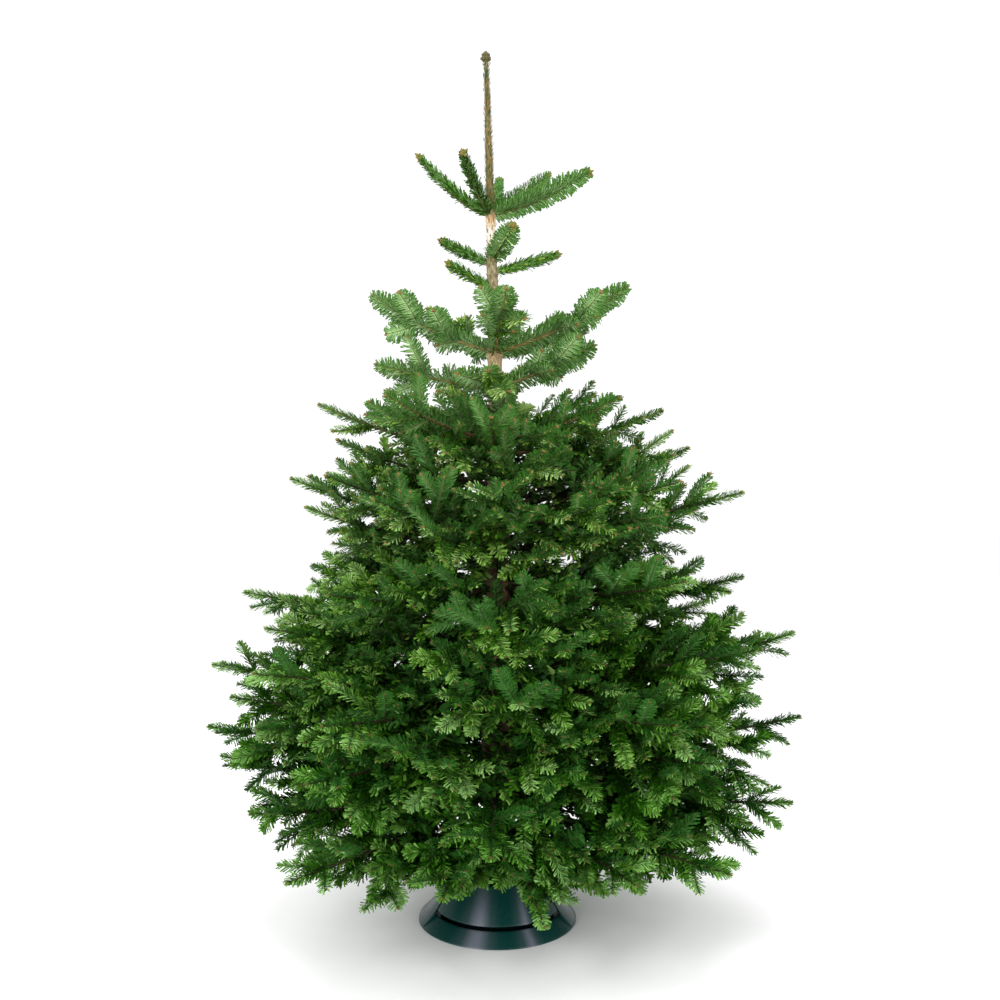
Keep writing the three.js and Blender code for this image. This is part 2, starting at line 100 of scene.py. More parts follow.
LIMB_DEPTH = 0.5  # of the trunk's radius, where a limb's middle line begins
ROOT_BAND = 0.004  # points of a node this close to its nearest one are its root
LIMB_ROOT_RADIUS = 0.001  # plus LIMB_STOUTNESS of the reach
LIMB_STOUTNESS = 0.0125
LIMB_TIP_RADIUS = 0.0017
RING_POINTS = 8  # a ring of the frame's trunk has at least this many points


# ---- sizes and colours that a user would change


def colour_setting(name, description, default):
    """A setting that holds a colour."""
    return bpy.props.FloatVectorProperty(
        name=name, description=description, subtype="COLOR", size=3, default=default)


class FirGrowthSettings(bpy.types.PropertyGroup):
    """How twigs branch off the limbs."""

    seed: bpy.props.IntProperty(
        name="Seed", description="Start of the random draws", default=20417)
    twig_share: bpy.props.FloatProperty(
        name="Twig share", description="A side twig's length as a share of the way left to the tip",
        default=0.74, min=0.2, max=1.0)
    twig_angle: bpy.props.FloatProperty(
        name="Twig angle", description="Between a side twig and what it springs from",
        default=math.radians(45), subtype="ANGLE")
    twig_spread: bpy.props.FloatProperty(
        name="Twig spread", description="How far short side twigs turn up or down round the limb",
        default=math.radians(60), subtype="ANGLE")
    tallest_roll: bpy.props.FloatProperty(
        name="Tallest rise", description="How far a long side twig may rise or drop at its tip",
        default=0.13, unit="LENGTH")
    orders: bpy.props.IntProperty(
        name="Orders", description="How many times twigs branch", default=3, min=1, max=4)
    third_share: bpy.props.FloatProperty(
        name="Third twigs", description="Share of nodes with an upper or lower twig as well",
        default=0.5, min=0.0, max=1.0)
    between_share: bpy.props.FloatProperty(
        name="Twigs between", description="Share of older shoots with a small twig between nodes",
        default=0.8, min=0.0, max=1.0)
    shoot_length: bpy.props.FloatProperty(
        name="Shoot length", description="Usual growth of a side twig in a year",
        default=0.095, unit="LENGTH")
    shortest_shoot: bpy.props.FloatProperty(
        name="Shortest shoot", description="A shoot shorter than this isn't grown",
        default=0.040, unit="LENGTH")


class FirNeedleSettings(bpy.types.PropertyGroup):
    """Needles and their greens."""

    length: bpy.props.FloatProperty(
        name="Length", description="Of the longest needles", default=0.0225, unit="LENGTH")
    width: bpy.props.FloatProperty(
        name="Width", description="Across a needle's blade", default=0.0032, unit="LENGTH")
    thickness: bpy.props.FloatProperty(
        name="Thickness", description="Through a needle's blade", default=0.0007, unit="LENGTH")
    per_metre: bpy.props.FloatProperty(
        name="Needles a metre", description="On a metre of young shoot", default=1400.0)
    deep: colour_setting("Deep green", "Older needles", (0.016, 0.058, 0.003))
    mid: colour_setting("Mid green", "Most needles", (0.046, 0.142, 0.008))
    fresh: colour_setting("Fresh green", "Young needles in the light", (0.140, 0.275, 0.038))
    lime: colour_setting("Yellow green", "A few of the youngest shoots", (0.250, 0.430, 0.105))
    # The lightest needles at a tip: partly the paler new growth, partly a painted highlight.
    pale: colour_setting("Pale green", "The lightest needles at a tip", (0.325, 0.530, 0.180))
    blue: colour_setting("Blue green", "Needles with a waxy bloom", (0.048, 0.150, 0.040))
    midrib: colour_setting("Midrib", "Green between the pale bands", (0.036, 0.120, 0.016))
    shaded: colour_setting(
        "Shaded underside", "Under the needles of the lower crown", (0.045, 0.140, 0.022))
    under: colour_setting("Underside", "Pale bands under each needle", (0.180, 0.360, 0.125))
    dry: colour_setting("Dry", "Old needles pressed to the stem", (0.190, 0.130, 0.045))


class FirBarkSettings(bpy.types.PropertyGroup):
    """Relief and colours of the bark, twigs and buds."""

    relief: bpy.props.FloatProperty(
        name="Relief", description="Depth of the trunk's bark", default=0.0011, unit="LENGTH")
    limb_relief: bpy.props.FloatProperty(
        name="Limb relief", description="Depth of the limbs' bark", default=0.0005, unit="LENGTH")
    collar: bpy.props.FloatProperty(
        name="Collar", description="Swelling of the trunk at each limb, as a share of its radius",
        default=1.0)
    collar_run: bpy.props.FloatProperty(
        name="Collar run", description="Less than 1 draws the swelling out below the limb",
        default=0.33)
    trunk_sides: bpy.props.IntProperty(
        name="Trunk sides", description="Points round the trunk", default=48, min=12, max=96)
    trunk_ring: bpy.props.FloatProperty(
        name="Trunk ring", description="Height from one ring of the trunk to the next",
        default=0.008, unit="LENGTH")
    limb_sides: bpy.props.IntProperty(
        name="Limb sides", description="Points round a limb", default=8, min=5, max=24)
    limb_ring: bpy.props.FloatProperty(
        name="Limb ring", description="Length from one ring of a limb to the next",
        default=0.014, unit="LENGTH")
    young_twig: colour_setting(
        "Young twig", "Olive bark of the youngest twigs", (0.135, 0.130, 0.036))
    # Painted shade: a darker, greener copy of the young twigs' bark, for the lower tiers in the crown's
    # shade.
    shaded_twig: colour_setting(
        "Hidden twig", "Green bark of the young twigs lower down", (0.045, 0.065, 0.018))
    # Partly the old bark's own dark brown, partly a painted shade for the crown's interior where these
    # twigs sit.
    old_twig: colour_setting("Old twig", "Brown bark of older twigs", (0.030, 0.020, 0.011))
    bud: colour_setting("Bud", "Resin-brown scales of the buds", (0.200, 0.120, 0.042))
    # Painted shade: a darker copy of the bud colour, for the buds of the lower tiers.
    low_bud: colour_setting("Low bud", "Duller scales of the lower buds", (0.110, 0.080, 0.024))
    pale_bud: colour_setting("Pale bud", "Olive scales of the upper buds", (0.170, 0.145, 0.035))


class FirStandSettings(bpy.types.PropertyGroup):
    """The moulded stand and its clamp screws."""

    plastic: colour_setting("Plastic", "Dark teal green of the moulding", (0.0026, 0.036, 0.031))
    dust: colour_setting("Dust", "Thin dust on upward faces", (0.060, 0.090, 0.085))
    # Painted reflection: this grey stands for the soft lights mirrored in the glossy moulding, laid on
    # as bands down its sides.
    painted_reflection: colour_setting("Sheen", "Greyer streaks down the moulding", (0.135, 0.150, 0.185))
    gloss: bpy.props.FloatProperty(
        name="Roughness", description="Of the plastic", default=0.28, min=0.0, max=1.0)
    segments: bpy.props.IntProperty(
        name="Segments", description="Steps of a full turn", default=144, min=48, max=256)
    steel: colour_setting("Steel", "Plated screws", (0.55, 0.55, 0.56))


class FirStageSettings(bpy.types.PropertyGroup):
    """Floor, light and camera."""

    camera_distance: bpy.props.FloatProperty(
        name="Camera distance", description="From the trunk's axis", default=2.43, unit="LENGTH")
    camera_side: bpy.props.FloatProperty(
        name="Camera side", description="To the right of the trunk's axis", default=0.006,
        unit="LENGTH")
    camera_share: bpy.props.FloatProperty(
        name="Camera height", description="As a share of the tree's height", default=0.4804)
    lens: bpy.props.FloatProperty(
        name="Lens", description="Focal length in millimetres", default=37.15)
    floor_colour: colour_setting("Floor", "Pale floor", (0.90, 0.90, 0.90))
    sky: bpy.props.FloatProperty(
        name="Surround", description="Strength of the white surround", default=1.12)
    key: bpy.props.FloatProperty(
        name="Key light", description="Power of the soft light beside the viewer", default=90.0,
        unit="POWER")
    fill: bpy.props.FloatProperty(
        name="Fill light", description="Power of the light behind the tree", default=40.0, unit="POWER")


SETTINGS = {
    "fir_growth": FirGrowthSettings,
    "fir_needles": FirNeedleSettings,
    "fir_bark": FirBarkSettings,
    "fir_stand": FirStandSettings,
    "fir_stage": FirStageSettings,
}


# ---- small helpers


def unit(vector):
    """The vector at length one."""
    return vector / np.linalg.norm(vector)


def units(vectors):
    """Each row at length one."""
    return vectors / np.linalg.norm(vectors, axis=1, keepdims=True)


def points_of(node):
    """The points of one of the frame's nodes, each once."""
    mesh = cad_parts[node].data
    flat = np.empty(len(mesh.vertices) * 3)
    mesh.vertices.foreach_get("co", flat)
    return np.unique(np.round(flat.reshape(-1, 3), 6), axis=0)


def finish_piece(piece, materials, replaced=()):
    """Gives a piece its materials and body, and hides the frame's nodes that it replaces."""
    for material in materials:
        piece.data.materials.append(material)
    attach(piece, "root")
    if replaced:
        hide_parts(*replaced)
    return piece


def object_from(name, mesh):
    """A new object in the scene that shows the mesh."""
    piece = bpy.data.objects.new(name, mesh)
    bpy.context.scene.collection.objects.link(piece)
    return piece


def mesh_from_arrays(name, points, faces, slots):
    """A mesh from an array of points, one of faces with equal corners, and their slots."""
    mesh = bpy.data.meshes.new(name)
    mesh.vertices.add(len(points))
    mesh.vertices.foreach_set("co", points.astype(np.float32).ravel())
    mesh.loops.add(faces.size)
    mesh.loops.foreach_set("vertex_index", faces.astype(np.int32).ravel())
    mesh.polygons.add(len(faces))
    starts = np.arange(0, faces.size, faces.shape[1], dtype=np.int32)
    mesh.polygons.foreach_set("loop_start", starts)
    mesh.polygons.foreach_set("material_index", slots.astype(np.int32))
    mesh.polygons.foreach_set("use_smooth", np.zeros(len(faces), bool))
    mesh.update(calc_edges=True)
    if mesh.validate():
        raise RuntimeError(f"{name}: some of its faces aren't whole")
    return mesh


def mesh_from_bmesh(name, shape, smooth_angle=None):
    """A mesh from a bmesh, which is freed, smooth where its faces meet at a low angle."""
    bmesh.ops.recalc_face_normals(shape, faces=shape.faces)
    if smooth_angle is not None:
        for face in shape.faces:
            face.smooth = True
        for edge in shape.edges:
            edge.smooth = len(edge.link_faces) == 2 and edge.calc_face_angle() < smooth_angle
    mesh = bpy.data.meshes.new(name)
    shape.to_mesh(mesh)
    shape.free()
    return mesh


# ---- the trunk and limbs, read from the frame


def join_into(whole, shape, smooth_angle):
    """Adds a shape, with its sharp edges marked, to a larger one."""
    part = mesh_from_bmesh("part", shape, smooth_angle)
    whole.from_mesh(part)
    bpy.data.meshes.remove(part)


def spin_round(shape, geometry, axis, angle, steps, closed):
    """Turns points, edges or a face about an axis through the origin into a skin."""
    bmesh.ops.spin(shape, geom=geometry, cent=(0, 0, 0), axis=axis, dvec=(0, 0, 0), angle=angle,
                   steps=steps, use_merge=closed, use_normal_flip=False, use_duplicate=False)


class Trunk:
    """The axis and radius of the frame's trunk at any height."""

    def __init__(self):
        points = points_of("trunk")
        heights = np.round(points[:, 2], 4)
        rings = []
        for height in np.unique(heights):
            ring = points[heights == height]
            if len(ring) < RING_POINTS:
                continue
            low, high = ring.min(axis=0), ring.max(axis=0)
            middle = (low + high) / 2
            rings.append((height, middle[0], middle[1], (high[0] - low[0]) / 2))
        self.rings = np.array(rings)
        self.foot = self.rings[0, 0]
        self.crown = self.rings[-1, 0]

    def axis_at(self, height):
        """The middle of the trunk at a height, or at each of several."""
        across = np.interp(height, self.rings[:, 0], self.rings[:, 1])
        along = np.interp(height, self.rings[:, 0], self.rings[:, 2])
        return np.stack([across, along, np.asarray(height, float)], axis=-1)

    def radius_at(self, height):
        """The trunk's radius at a height, or at each of several."""
        return np.interp(height, self.rings[:, 0], self.rings[:, 3])


def ends_of(trunk, node):
    """The farthest point of a node from the trunk's axis, and the middle of its nearest."""
    points = points_of(node)
    away = np.linalg.norm((points - trunk.axis_at(points[:, 2]))[:, :2], axis=1)
    near = points[away < away.min() + ROOT_BAND]
    return points[away.argmax()], (near.min(axis=0) + near.max(axis=0)) / 2


class Limb:
    """One limb's run from inside the trunk to its tip."""

    def __init__(self, trunk, tier, azimuth, reach, lift, foot):
        rule = TIERS[tier]
        self.tier = tier
        self.curl, self.sag = rule.curl, rule.sag
        self.azimuth, self.reach, self.lift, self.foot = azimuth, reach, lift, foot
        self.out = np.array([math.cos(azimuth), math.sin(azimuth), 0.0])
        self.start = trunk.radius_at(foot) * LIMB_DEPTH
        self.root = trunk.axis_at(foot)
        self.thick = LIMB_ROOT_RADIUS + LIMB_STOUTNESS * reach

    @classmethod
    def from_nodes(cls, trunk, tier, mass, bough):
        """The limb that runs through a mass of the frame, and through its bough if it has one."""
        tip, _ = ends_of(trunk, mass)
        _, root = ends_of(trunk, bough or mass)
        axis = trunk.axis_at(root[2])
        out = (tip - axis)[:2]
        reach = np.linalg.norm(out)
        limb = cls(trunk, tier, math.atan2(out[1], out[0]), reach, 0.0, root[2])
        reached = np.linalg.norm((root - axis)[:2])
        along = (reached - limb.start) / (reach - limb.start)
        share = limb.share_of_lift(along)
        dip = limb.sag * math.sin(math.pi * along)
        foot = (root[2] + dip - tip[2] * share) / (1 - share)
        return cls(trunk, tier, limb.azimuth, reach, tip[2] - foot, foot)

    @classmethod
    def between(cls, trunk, one, other, rise, aside):
        """A limb in the gap between two limbs of a tier, from above or below them."""
        gap = (other.azimuth - one.azimuth) % (2 * math.pi)
        azimuth = one.azimuth + gap * aside
        reach = (one.reach * (1 - aside) + other.reach * aside) * GAP_LIMB_SHARE
        lift = (one.lift * (1 - aside) + other.lift * aside) * GAP_LIMB_SHARE
        return cls(trunk, one.tier, azimuth, reach, lift, (one.foot + other.foot) / 2 + rise)

    def share_of_lift(self, along):
        """How much of its lift the limb has reached part of the way along."""
        return (1 - self.curl) * along + self.curl * along * along

    def place_at(self, along):
        """The limb's middle line, from 0 inside the trunk to 1 at the tip."""
        rise = self.lift * self.share_of_lift(along)
        dip = self.sag * math.sin(math.pi * min(1.0, max(0.0, along)))
        distance = self.start + (self.reach - self.start) * along
        return self.root + self.out * distance + UP * (rise - dip)

    def radius_at(self, along):
        """The limb's radius, which tapers evenly."""
        return self.thick + (LIMB_TIP_RADIUS - self.thick) * min(1.0, max(0.0, along))

    def ahead_at(self, along):
        """Which way the limb runs."""
        step = 1e-3
        return unit(self.place_at(along + step) - self.place_at(along - step))


def nodes_named(start):
    """The frame's nodes whose names begin in one way, in order."""
    return sorted(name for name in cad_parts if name.startswith(start))


def limbs_of(trunk):
    """Every limb of every tier: the frame's own, then the ones that close the gaps."""
    limbs = []
    for tier, rule in TIERS.items():
        boughs = nodes_named(tier + "_bough_")
        own = []
        for mass in nodes_named(tier + "_mass_"):
            bough = mass.replace("_mass_", "_bough_")
            own.append(Limb.from_nodes(trunk, tier, mass, bough if bough in boughs else None))
        limbs += own
        ring = sorted(own, key=lambda limb: limb.azimuth)
        for number, rise in enumerate(rule.gaps):
            for one, other in zip(ring, ring[1:] + ring[:1]):
                limbs.append(Limb.between(trunk, one, other, rise, GAP_PLACES[number]))
    return limbs


# ---- growth: a shoot for every year of every twig

Shoot = namedtuple("Shoot", "start middle end over thick thin age order tier light")
TWIG_TIP_RADIUS = 0.0011
TWIG_YEAR_RADIUS = 0.00045  # a twig's root is this much stouter for each year of its age
YEAR_POWER = 0.9  # of side twigs, as in the tiers' rules
TRUNK_ROOM = 0.035  # kept free of side twigs beside the trunk
FLOOR_ROOM = 0.155
STAND_ROOM = (0.26, 0.155)  # radius and height over the stand
FRONT_ROOMS = ((-0.185, -0.085), (-0.012, 0.05))  # across, kept free before the stand
FRONT_HEIGHT = 0.215
BOX_ROOM = 0.018  # how far a twig may stand out of the frame's box
DROOP = ((0.25, -0.11), (0.75, 0.0), (1.2, 0.05))  # turn of side shoots each year, by height
INNER_LIMBS = 60  # small limbs of the trunk between the tiers
INNER_SPAN = (0.21, 1.20)
INNER_RISES = ((0.21, -0.30), (0.38, 0.15))  # least slope at its root, by height
INNER_SHARES = (0.28, 0.50)  # of the crown's radius
INNER_DEPTH = 0.8  # of the trunk's radius, where they begin
CROWN_LEVELS = 12  # heights at which the crown's radius is read
CROWN_BAND = 0.12  # limbs' tips within this of a height count there

# Draws, each as its least value and how much more it may be.
SLOPE_DRAW = (0.0, 0.3)  # of an inner limb, above the least
PAIR_REACH = (0.9, 0.25)  # against the rule's share
PAIR_LEAST = (0.9, 0.2)  # against the least twig
THIRD_REACH = (0.45, 0.25)
THIRD_ROLL = (70, 40)  # degrees
THIRD_ANGLE = (0.8, 0.3)  # against the twig angle
BETWEEN_PLACE = (0.3, 0.5)  # along the shoot
BETWEEN_REACH = (0.045, 0.02)  # for each year
BETWEEN_ANGLE = (0.9, 0.2)
EITHER_WAY = (-1, 2)
PAIR_WANDER = math.radians(14)
BETWEEN_ROLL = math.radians(75)
TWIG_TILT = math.radians(35)
BEND = 0.045  # of a twig's way at each year
FOLLOW = 0.06  # how much a twig turns to run along with its parent each year
SHORT_YEARS = 2  # the most years of the third twigs and of those between nodes
LIMB_BETWEEN = 3  # the most twigs between two nodes of a limb, where other shoots have one


def yearly_stops(years, power=YEAR_POWER):
    """Where each year of a limb or twig ends, from 0 to 1."""
    return (np.arange(years + 1) / years) ** power


def across(ahead):
    """The directions to the side of and over a direction of growth."""
    side = unit(np.cross(ahead, UP))
    return side, np.cross(side, ahead)


def turned_about(vector, axis, angle):
    """A vector turned about an axis of length one."""
    turned = vector * math.cos(angle) + np.cross(axis, vector) * math.sin(angle)
    return turned + axis * np.dot(axis, vector) * (1 - math.cos(angle))


CELL = 0.045  # of the grid that the foliage is counted in
PLUME = 0.040  # how wide a shoot's needles stand in the light's way
BARE_PLUME = 0.1  # the shade of a shoot without needles, against one with all of them
SHADE_PLACES = (1 / 6, 1 / 2, 5 / 6)  # along a shoot, where its shade is counted
LIGHT_RINGS = ((-0.5, 4), (0.0, 8), (0.7, 6))  # slope of each ring of ways, and how many
LIGHT_STEPS = 16
FIRST_STEP = 0.3  # of a cell, added to each step
LIGHT_WAYS = 6  # the brightest ways that count
LEAST_LIGHT = 0.02  # a fine twig with less has been shed
SHADE_LIGHTS = (0.35, 1.00)  # needles grow denser from the one to the other
SHADE_HELD = 0.15  # share of its needles that a shoot in the shade holds
SHADE_SPREAD = 3.4  # how much wider they are


def lights_on(shoots):
    """How much light gets to each shoot past the others, from 0 to 1."""
    grid = columns_of(shoots)
    held = HELD_NEEDLES[np.minimum(grid["age"], len(HELD_NEEDLES) - 1)] + BARE_PLUME
    low = grid["start"].min(axis=0) - 2 * CELL
    size = np.ceil((grid["start"].max(axis=0) + 4 * CELL - low) / CELL).astype(int)
    thickness = np.zeros(size)
    for along in SHADE_PLACES:
        place = grid["start"] * (1 - along) + grid["end"] * along
        cell = np.clip(((place - low) / CELL).astype(int), 0, size - 1)
        shade = grid["length"] / len(SHADE_PLACES) * held * PLUME / CELL ** 2
        np.add.at(thickness, tuple(cell.T), shade)
    ways = []
    for rise, count in LIGHT_RINGS:
        for turn in np.arange(count) * 2 * math.pi / count:
            ways.append(unit(np.array([math.cos(turn), math.sin(turn), rise])))
    lights = []
    for way in ways:
        passed = np.zeros(len(shoots))
        for step in range(1, LIGHT_STEPS + 1):
            cell = ((grid["end"] + way * CELL * (step + FIRST_STEP) - low) / CELL).astype(int)
            inside = np.all((cell >= 0) & (cell < size), axis=1)
            passed[inside] += thickness[tuple(cell[inside].T)]
        lights.append(np.exp(-passed))
    return np.sort(np.stack(lights), axis=0)[-LIGHT_WAYS:].mean(axis=0)


def shade_share(lights):
    """From 0 in deep shade to 1 in full light."""
    return np.interp(lights, SHADE_LIGHTS, (0.0, 1.0))


LEAST_TWIG = (0.095, 0.070, 0.055)  # of a pair, on a limb, a side twig and a finer one


class Crown:
    """All shoots of the tree, grown by the limbs' rule and carried to finer twigs."""

    def __init__(self, growth):
        self.growth = growth
        self.random = np.random.default_rng(growth.seed)
        self.trunk = Trunk()
        self.limbs = limbs_of(self.trunk)
        self.shoots = []
        tips = np.array([(limb.place_at(1)[2], limb.reach) for limb in self.limbs])
        levels = np.linspace(tips[:, 0].min(), tips[:, 0].max(), CROWN_LEVELS)
        reaches = [tips[np.abs(tips[:, 0] - level) < CROWN_BAND, 1] for level in levels]
        self.levels = [level for level, some in zip(levels, reaches) if len(some)]
        self.radii = [some.max() for some in reaches if len(some)]
        self.node_of = {limb.tier: limb.foot for limb in self.limbs}
        for limb in self.limbs:
            self.grow_limb(limb)
        self.grow_inner_limbs()
        lights = lights_on(self.shoots)
        self.shoots = [shoot._replace(light=light) for shoot, light in zip(self.shoots, lights)
                       if light > LEAST_LIGHT or shoot.order < 2]

    def drawn(self, least, span):
        """An even draw from the least value up."""
        return least + span * self.random.random()

    def add(self, start, middle, end, over, thick, thin, age, order, tier):
        """Keeps one shoot."""
        self.shoots.append(Shoot(start, middle, end, over, thick, thin, age, order, tier, 1.0))

    def has_room(self, point):
        """Whether a twig may reach a point."""
        x, y, z = point
        if z < FLOOR_ROOM:
            return False
        from_axis = np.linalg.norm((point - self.trunk.axis_at(z))[:2])
        if from_axis < TRUNK_ROOM:
            return False
        if from_axis < STAND_ROOM[0] and z < STAND_ROOM[1]:
            return False
        before = y < -STAND_ROOM[0] and z < FRONT_HEIGHT
        if before and any(start < x < end for start, end in FRONT_ROOMS):
            return False
        inside_x = CAD_LOW.x - BOX_ROOM < x < CAD_HIGH.x + BOX_ROOM
        inside_y = CAD_LOW.y - BOX_ROOM < y < CAD_HIGH.y + BOX_ROOM
        return inside_x and inside_y

    def grow_limb(self, limb):
        """The years of a limb itself, and what springs from each of its nodes."""
        years = TIERS[limb.tier].years
        stops = yearly_stops(years, TIERS[limb.tier].power)
        for year in range(years):
            first, last = stops[year], stops[year + 1]
            start, end = limb.place_at(first), limb.place_at(last)
            middle = limb.place_at((first + last) / 2)
            ahead = limb.ahead_at(last)
            _, over = across(ahead)
            over = over + BACKWARD * LEANS.get(limb.tier, 0.0)
            over = unit(over - ahead * np.dot(over, ahead))
            age = years - 1 - year
            self.add(start, middle, end, over, limb.radius_at(first), limb.radius_at(last), age, 0,
                     limb.tier)
            if age == 0:
                continue
            left = limb.reach * (1 - last)
            self.grow_node(end, ahead, over, left, age, 0, limb.tier)
            self.grow_between(start, end, over, age, 0, limb.tier)

    def grow_inner_limbs(self):
        """Small limbs of the trunk itself, which close the crown between its tiers."""
        low, high = INNER_SPAN
        for number in range(INNER_LIMBS):
            height = low + (high - low) * (number + 0.5) / INNER_LIMBS
            turn = number * GOLDEN_ANGLE
            out = np.array([math.cos(turn), math.sin(turn), 0.0])
            radius = float(self.trunk.radius_at(height))
            start = self.trunk.axis_at(height) + out * radius * INNER_DEPTH
            least, most = INNER_SHARES
            share = least + (most - least) * self.random.random() * abs(out[1])
            reach = float(np.interp(height, self.levels, self.radii)) * share
            slope = float(np.interp(height, *zip(*INNER_RISES))) + self.drawn(*SLOPE_DRAW)
            way = unit(out + UP * slope)
            side, over = across(way)
            tier = min(TIERS, key=lambda name: abs(self.node_of[name] - height))
            years = max(2, round(reach / self.growth.shoot_length))
            self.grow_twig(start, way, side, over, 0.0, 0.0, reach, years, 0, tier)

    def grow_node(self, point, ahead, over, left, age, order, tier):
        """A pair of side twigs, and on some nodes a shorter one above or below."""
        growth = self.growth
        side = np.cross(ahead, over)
        for hand in (-1, 1):
            reach = growth.twig_share * left * self.drawn(*PAIR_REACH)
            reach = max(reach, LEAST_TWIG[min(order, 2)] * self.drawn(*PAIR_LEAST))
            rise = min(1.0, growth.tallest_roll / (reach * math.sin(growth.twig_angle)))
            roll = min(growth.twig_spread, math.asin(rise)) * self.drawn(*EITHER_WAY)
            angle = growth.twig_angle + PAIR_WANDER * (self.random.random() - 0.5)
            self.grow_twig(point, ahead, side * hand, over, angle, roll, reach, age, order, tier)
        for hand in (-1, 1):
            if self.random.random() > growth.third_share:
                continue
            reach = growth.twig_share * left * self.drawn(*THIRD_REACH)
            roll = math.radians(self.drawn(*THIRD_ROLL)) * hand
            angle = growth.twig_angle * self.drawn(*THIRD_ANGLE)
            self.grow_twig(point, ahead, side, over, angle, roll, min(reach, growth.tallest_roll),
                           min(age, SHORT_YEARS), order, tier)

    def grow_between(self, start, end, over, age, order, tier):
        """Small twigs between two nodes."""
        for _ in range(LIMB_BETWEEN if order == 0 else 1):
            if self.random.random() > self.growth.between_share:
                continue
            years = min(age, SHORT_YEARS)
            point = start + (end - start) * self.drawn(*BETWEEN_PLACE)
            ahead = unit(end - start)
            side = np.cross(ahead, over)
            hand = 1 if self.random.random() < 0.5 else -1
            roll = BETWEEN_ROLL * self.drawn(*EITHER_WAY)
            reach = self.drawn(*BETWEEN_REACH) * years
            angle = self.growth.twig_angle * self.drawn(*BETWEEN_ANGLE)
            self.grow_twig(point, ahead, side * hand, over, angle, roll, reach, years, order + 1,
                           tier)

    def grow_twig(self, point, ahead, side, over, angle, roll, reach, years, order, tier):
        """One side twig of the next order, year by year, and what springs from it."""
        growth = self.growth
        out = side * math.cos(roll) + over * math.sin(roll)
        way = unit(ahead * math.cos(angle) + out * math.sin(angle))
        tilt = TWIG_TILT * self.drawn(*EITHER_WAY)
        over = turned_about(unit(over - way * np.dot(over, way)), way, tilt)
        years = min(years, max(1, round(reach / growth.shoot_length)))
        stops = yearly_stops(years)
        droop = UP * float(np.interp(point[2], *zip(*DROOP)))
        order += 1
        for year in range(years):
            length = reach * (stops[year + 1] - stops[year])
            age = years - 1 - year
            if length < growth.shortest_shoot:
                return
            bend = self.random.normal(0, BEND, 3)
            middle = point + way * length / 2
            way = unit(way + bend + ahead * FOLLOW + droop)
            end = middle + way * length / 2
            if not self.has_room(end):
                return
            over = unit(over - way * np.dot(over, way))
            self.add(point, middle, end, over, self.twig_radius(years - year),
                     self.twig_radius(age), age, order, tier)
            point = end
            if age == 0 or order >= growth.orders:
                continue
            left = reach * (1 - stops[year + 1])
            self.grow_node(point, way, over, left, age, order, tier)
            if order < 2:
                self.grow_between(point - way * length, point, over, age, order, tier)

    @staticmethod
    def twig_radius(years_left):
        """How stout a twig is where it has this many years still to run."""
        return TWIG_TIP_RADIUS + TWIG_YEAR_RADIUS * years_left


grown = {}


def crown_of(context):
    """The crown, grown once for all the operators."""
    if "crown" not in grown:
        grown["crown"] = Crown(context.scene.fir_growth)
    return grown["crown"]


# ---- materials


def new_material(name, roughness, specular=0.5):
    """A material with its shader, ready for more nodes."""
    material = bpy.data.materials.new(name)
    material.use_nodes = True
    shader = material.node_tree.nodes["Principled BSDF"]
    shader.inputs["Roughness"].default_value = roughness
    shader.inputs["Specular IOR Level"].default_value = specular
    return material, shader


def plain_material(name, colour, roughness, specular=0.5):
    """One finish with a plain base colour, for the pieces made of many small things."""
    material, shader = new_material(name, roughness, specular)
    shader.inputs["Base Color"].default_value = (*colour, 1)
    return material


def add_node(material, kind, **values):
    """A node of one kind, with its named inputs and settings given."""
    node = material.node_tree.nodes.new(kind)
    for key, value in values.items():
        if hasattr(node, key):
            setattr(node, key, value)
        else:
            node.inputs[key.replace("_", " ").title()].default_value = value
    return node


def link(material, source, target):
    """Joins an output to an input."""
    material.node_tree.links.new(source, target)


def object_pattern(material, kind, stretch=(1, 1, 1), **values):
    """A noise or other texture on the piece's own coordinates, stretched along its axes."""
    place = add_node(material, "ShaderNodeTexCoord")
    mapping = add_node(material, "ShaderNodeMapping")
    mapping.inputs["Scale"].default_value = stretch
    pattern = add_node(material, kind, **values)
    link(material, place.outputs["Object"], mapping.inputs["Vector"])
    link(material, mapping.outputs["Vector"], pattern.inputs["Vector"])
    return pattern


def places_on(material):
    """The piece's own coordinates, whole and split into three."""
    place = add_node(material, "ShaderNodeTexCoord")
    split = add_node(material, "ShaderNodeSeparateXYZ")
    link(material, place.outputs["Object"], split.inputs["Vector"])
    return place.outputs["Object"], split.outputs


def ranged(material, source, run, results=(0.0, 1.0)):
    """A value's run from one number to another, carried over to two others."""
    node = add_node(material, "ShaderNodeMapRange")
    link(material, source, node.inputs["Value"])
    for socket, value in zip(("From Min", "From Max", "To Min", "To Max"), (*run, *results)):
        node.inputs[socket].default_value = value
    return node.outputs["Result"]


def reckoned(material, operation, first, second):
    """A sum of one kind over an output and an output or a number."""
    node = add_node(material, "ShaderNodeMath", operation=operation)
    link(material, first, node.inputs[0])
    if isinstance(second, bpy.types.NodeSocket):
        link(material, second, node.inputs[1])
    else:
        node.inputs[1].default_value = second
    return node.outputs["Value"]


def ramp_of(material, source, stops):
    """A colour ramp over a value, from (place, colour) stops."""
    ramp = add_node(material, "ShaderNodeValToRGB")
    elements = ramp.color_ramp.elements
    while len(elements) < len(stops):
        elements.new(0.5)
    for element, (place, colour) in zip(elements, stops):
        element.position = place
        element.color = (*colour, 1)
    link(material, source, ramp.inputs["Fac"])
    return ramp.outputs["Color"]


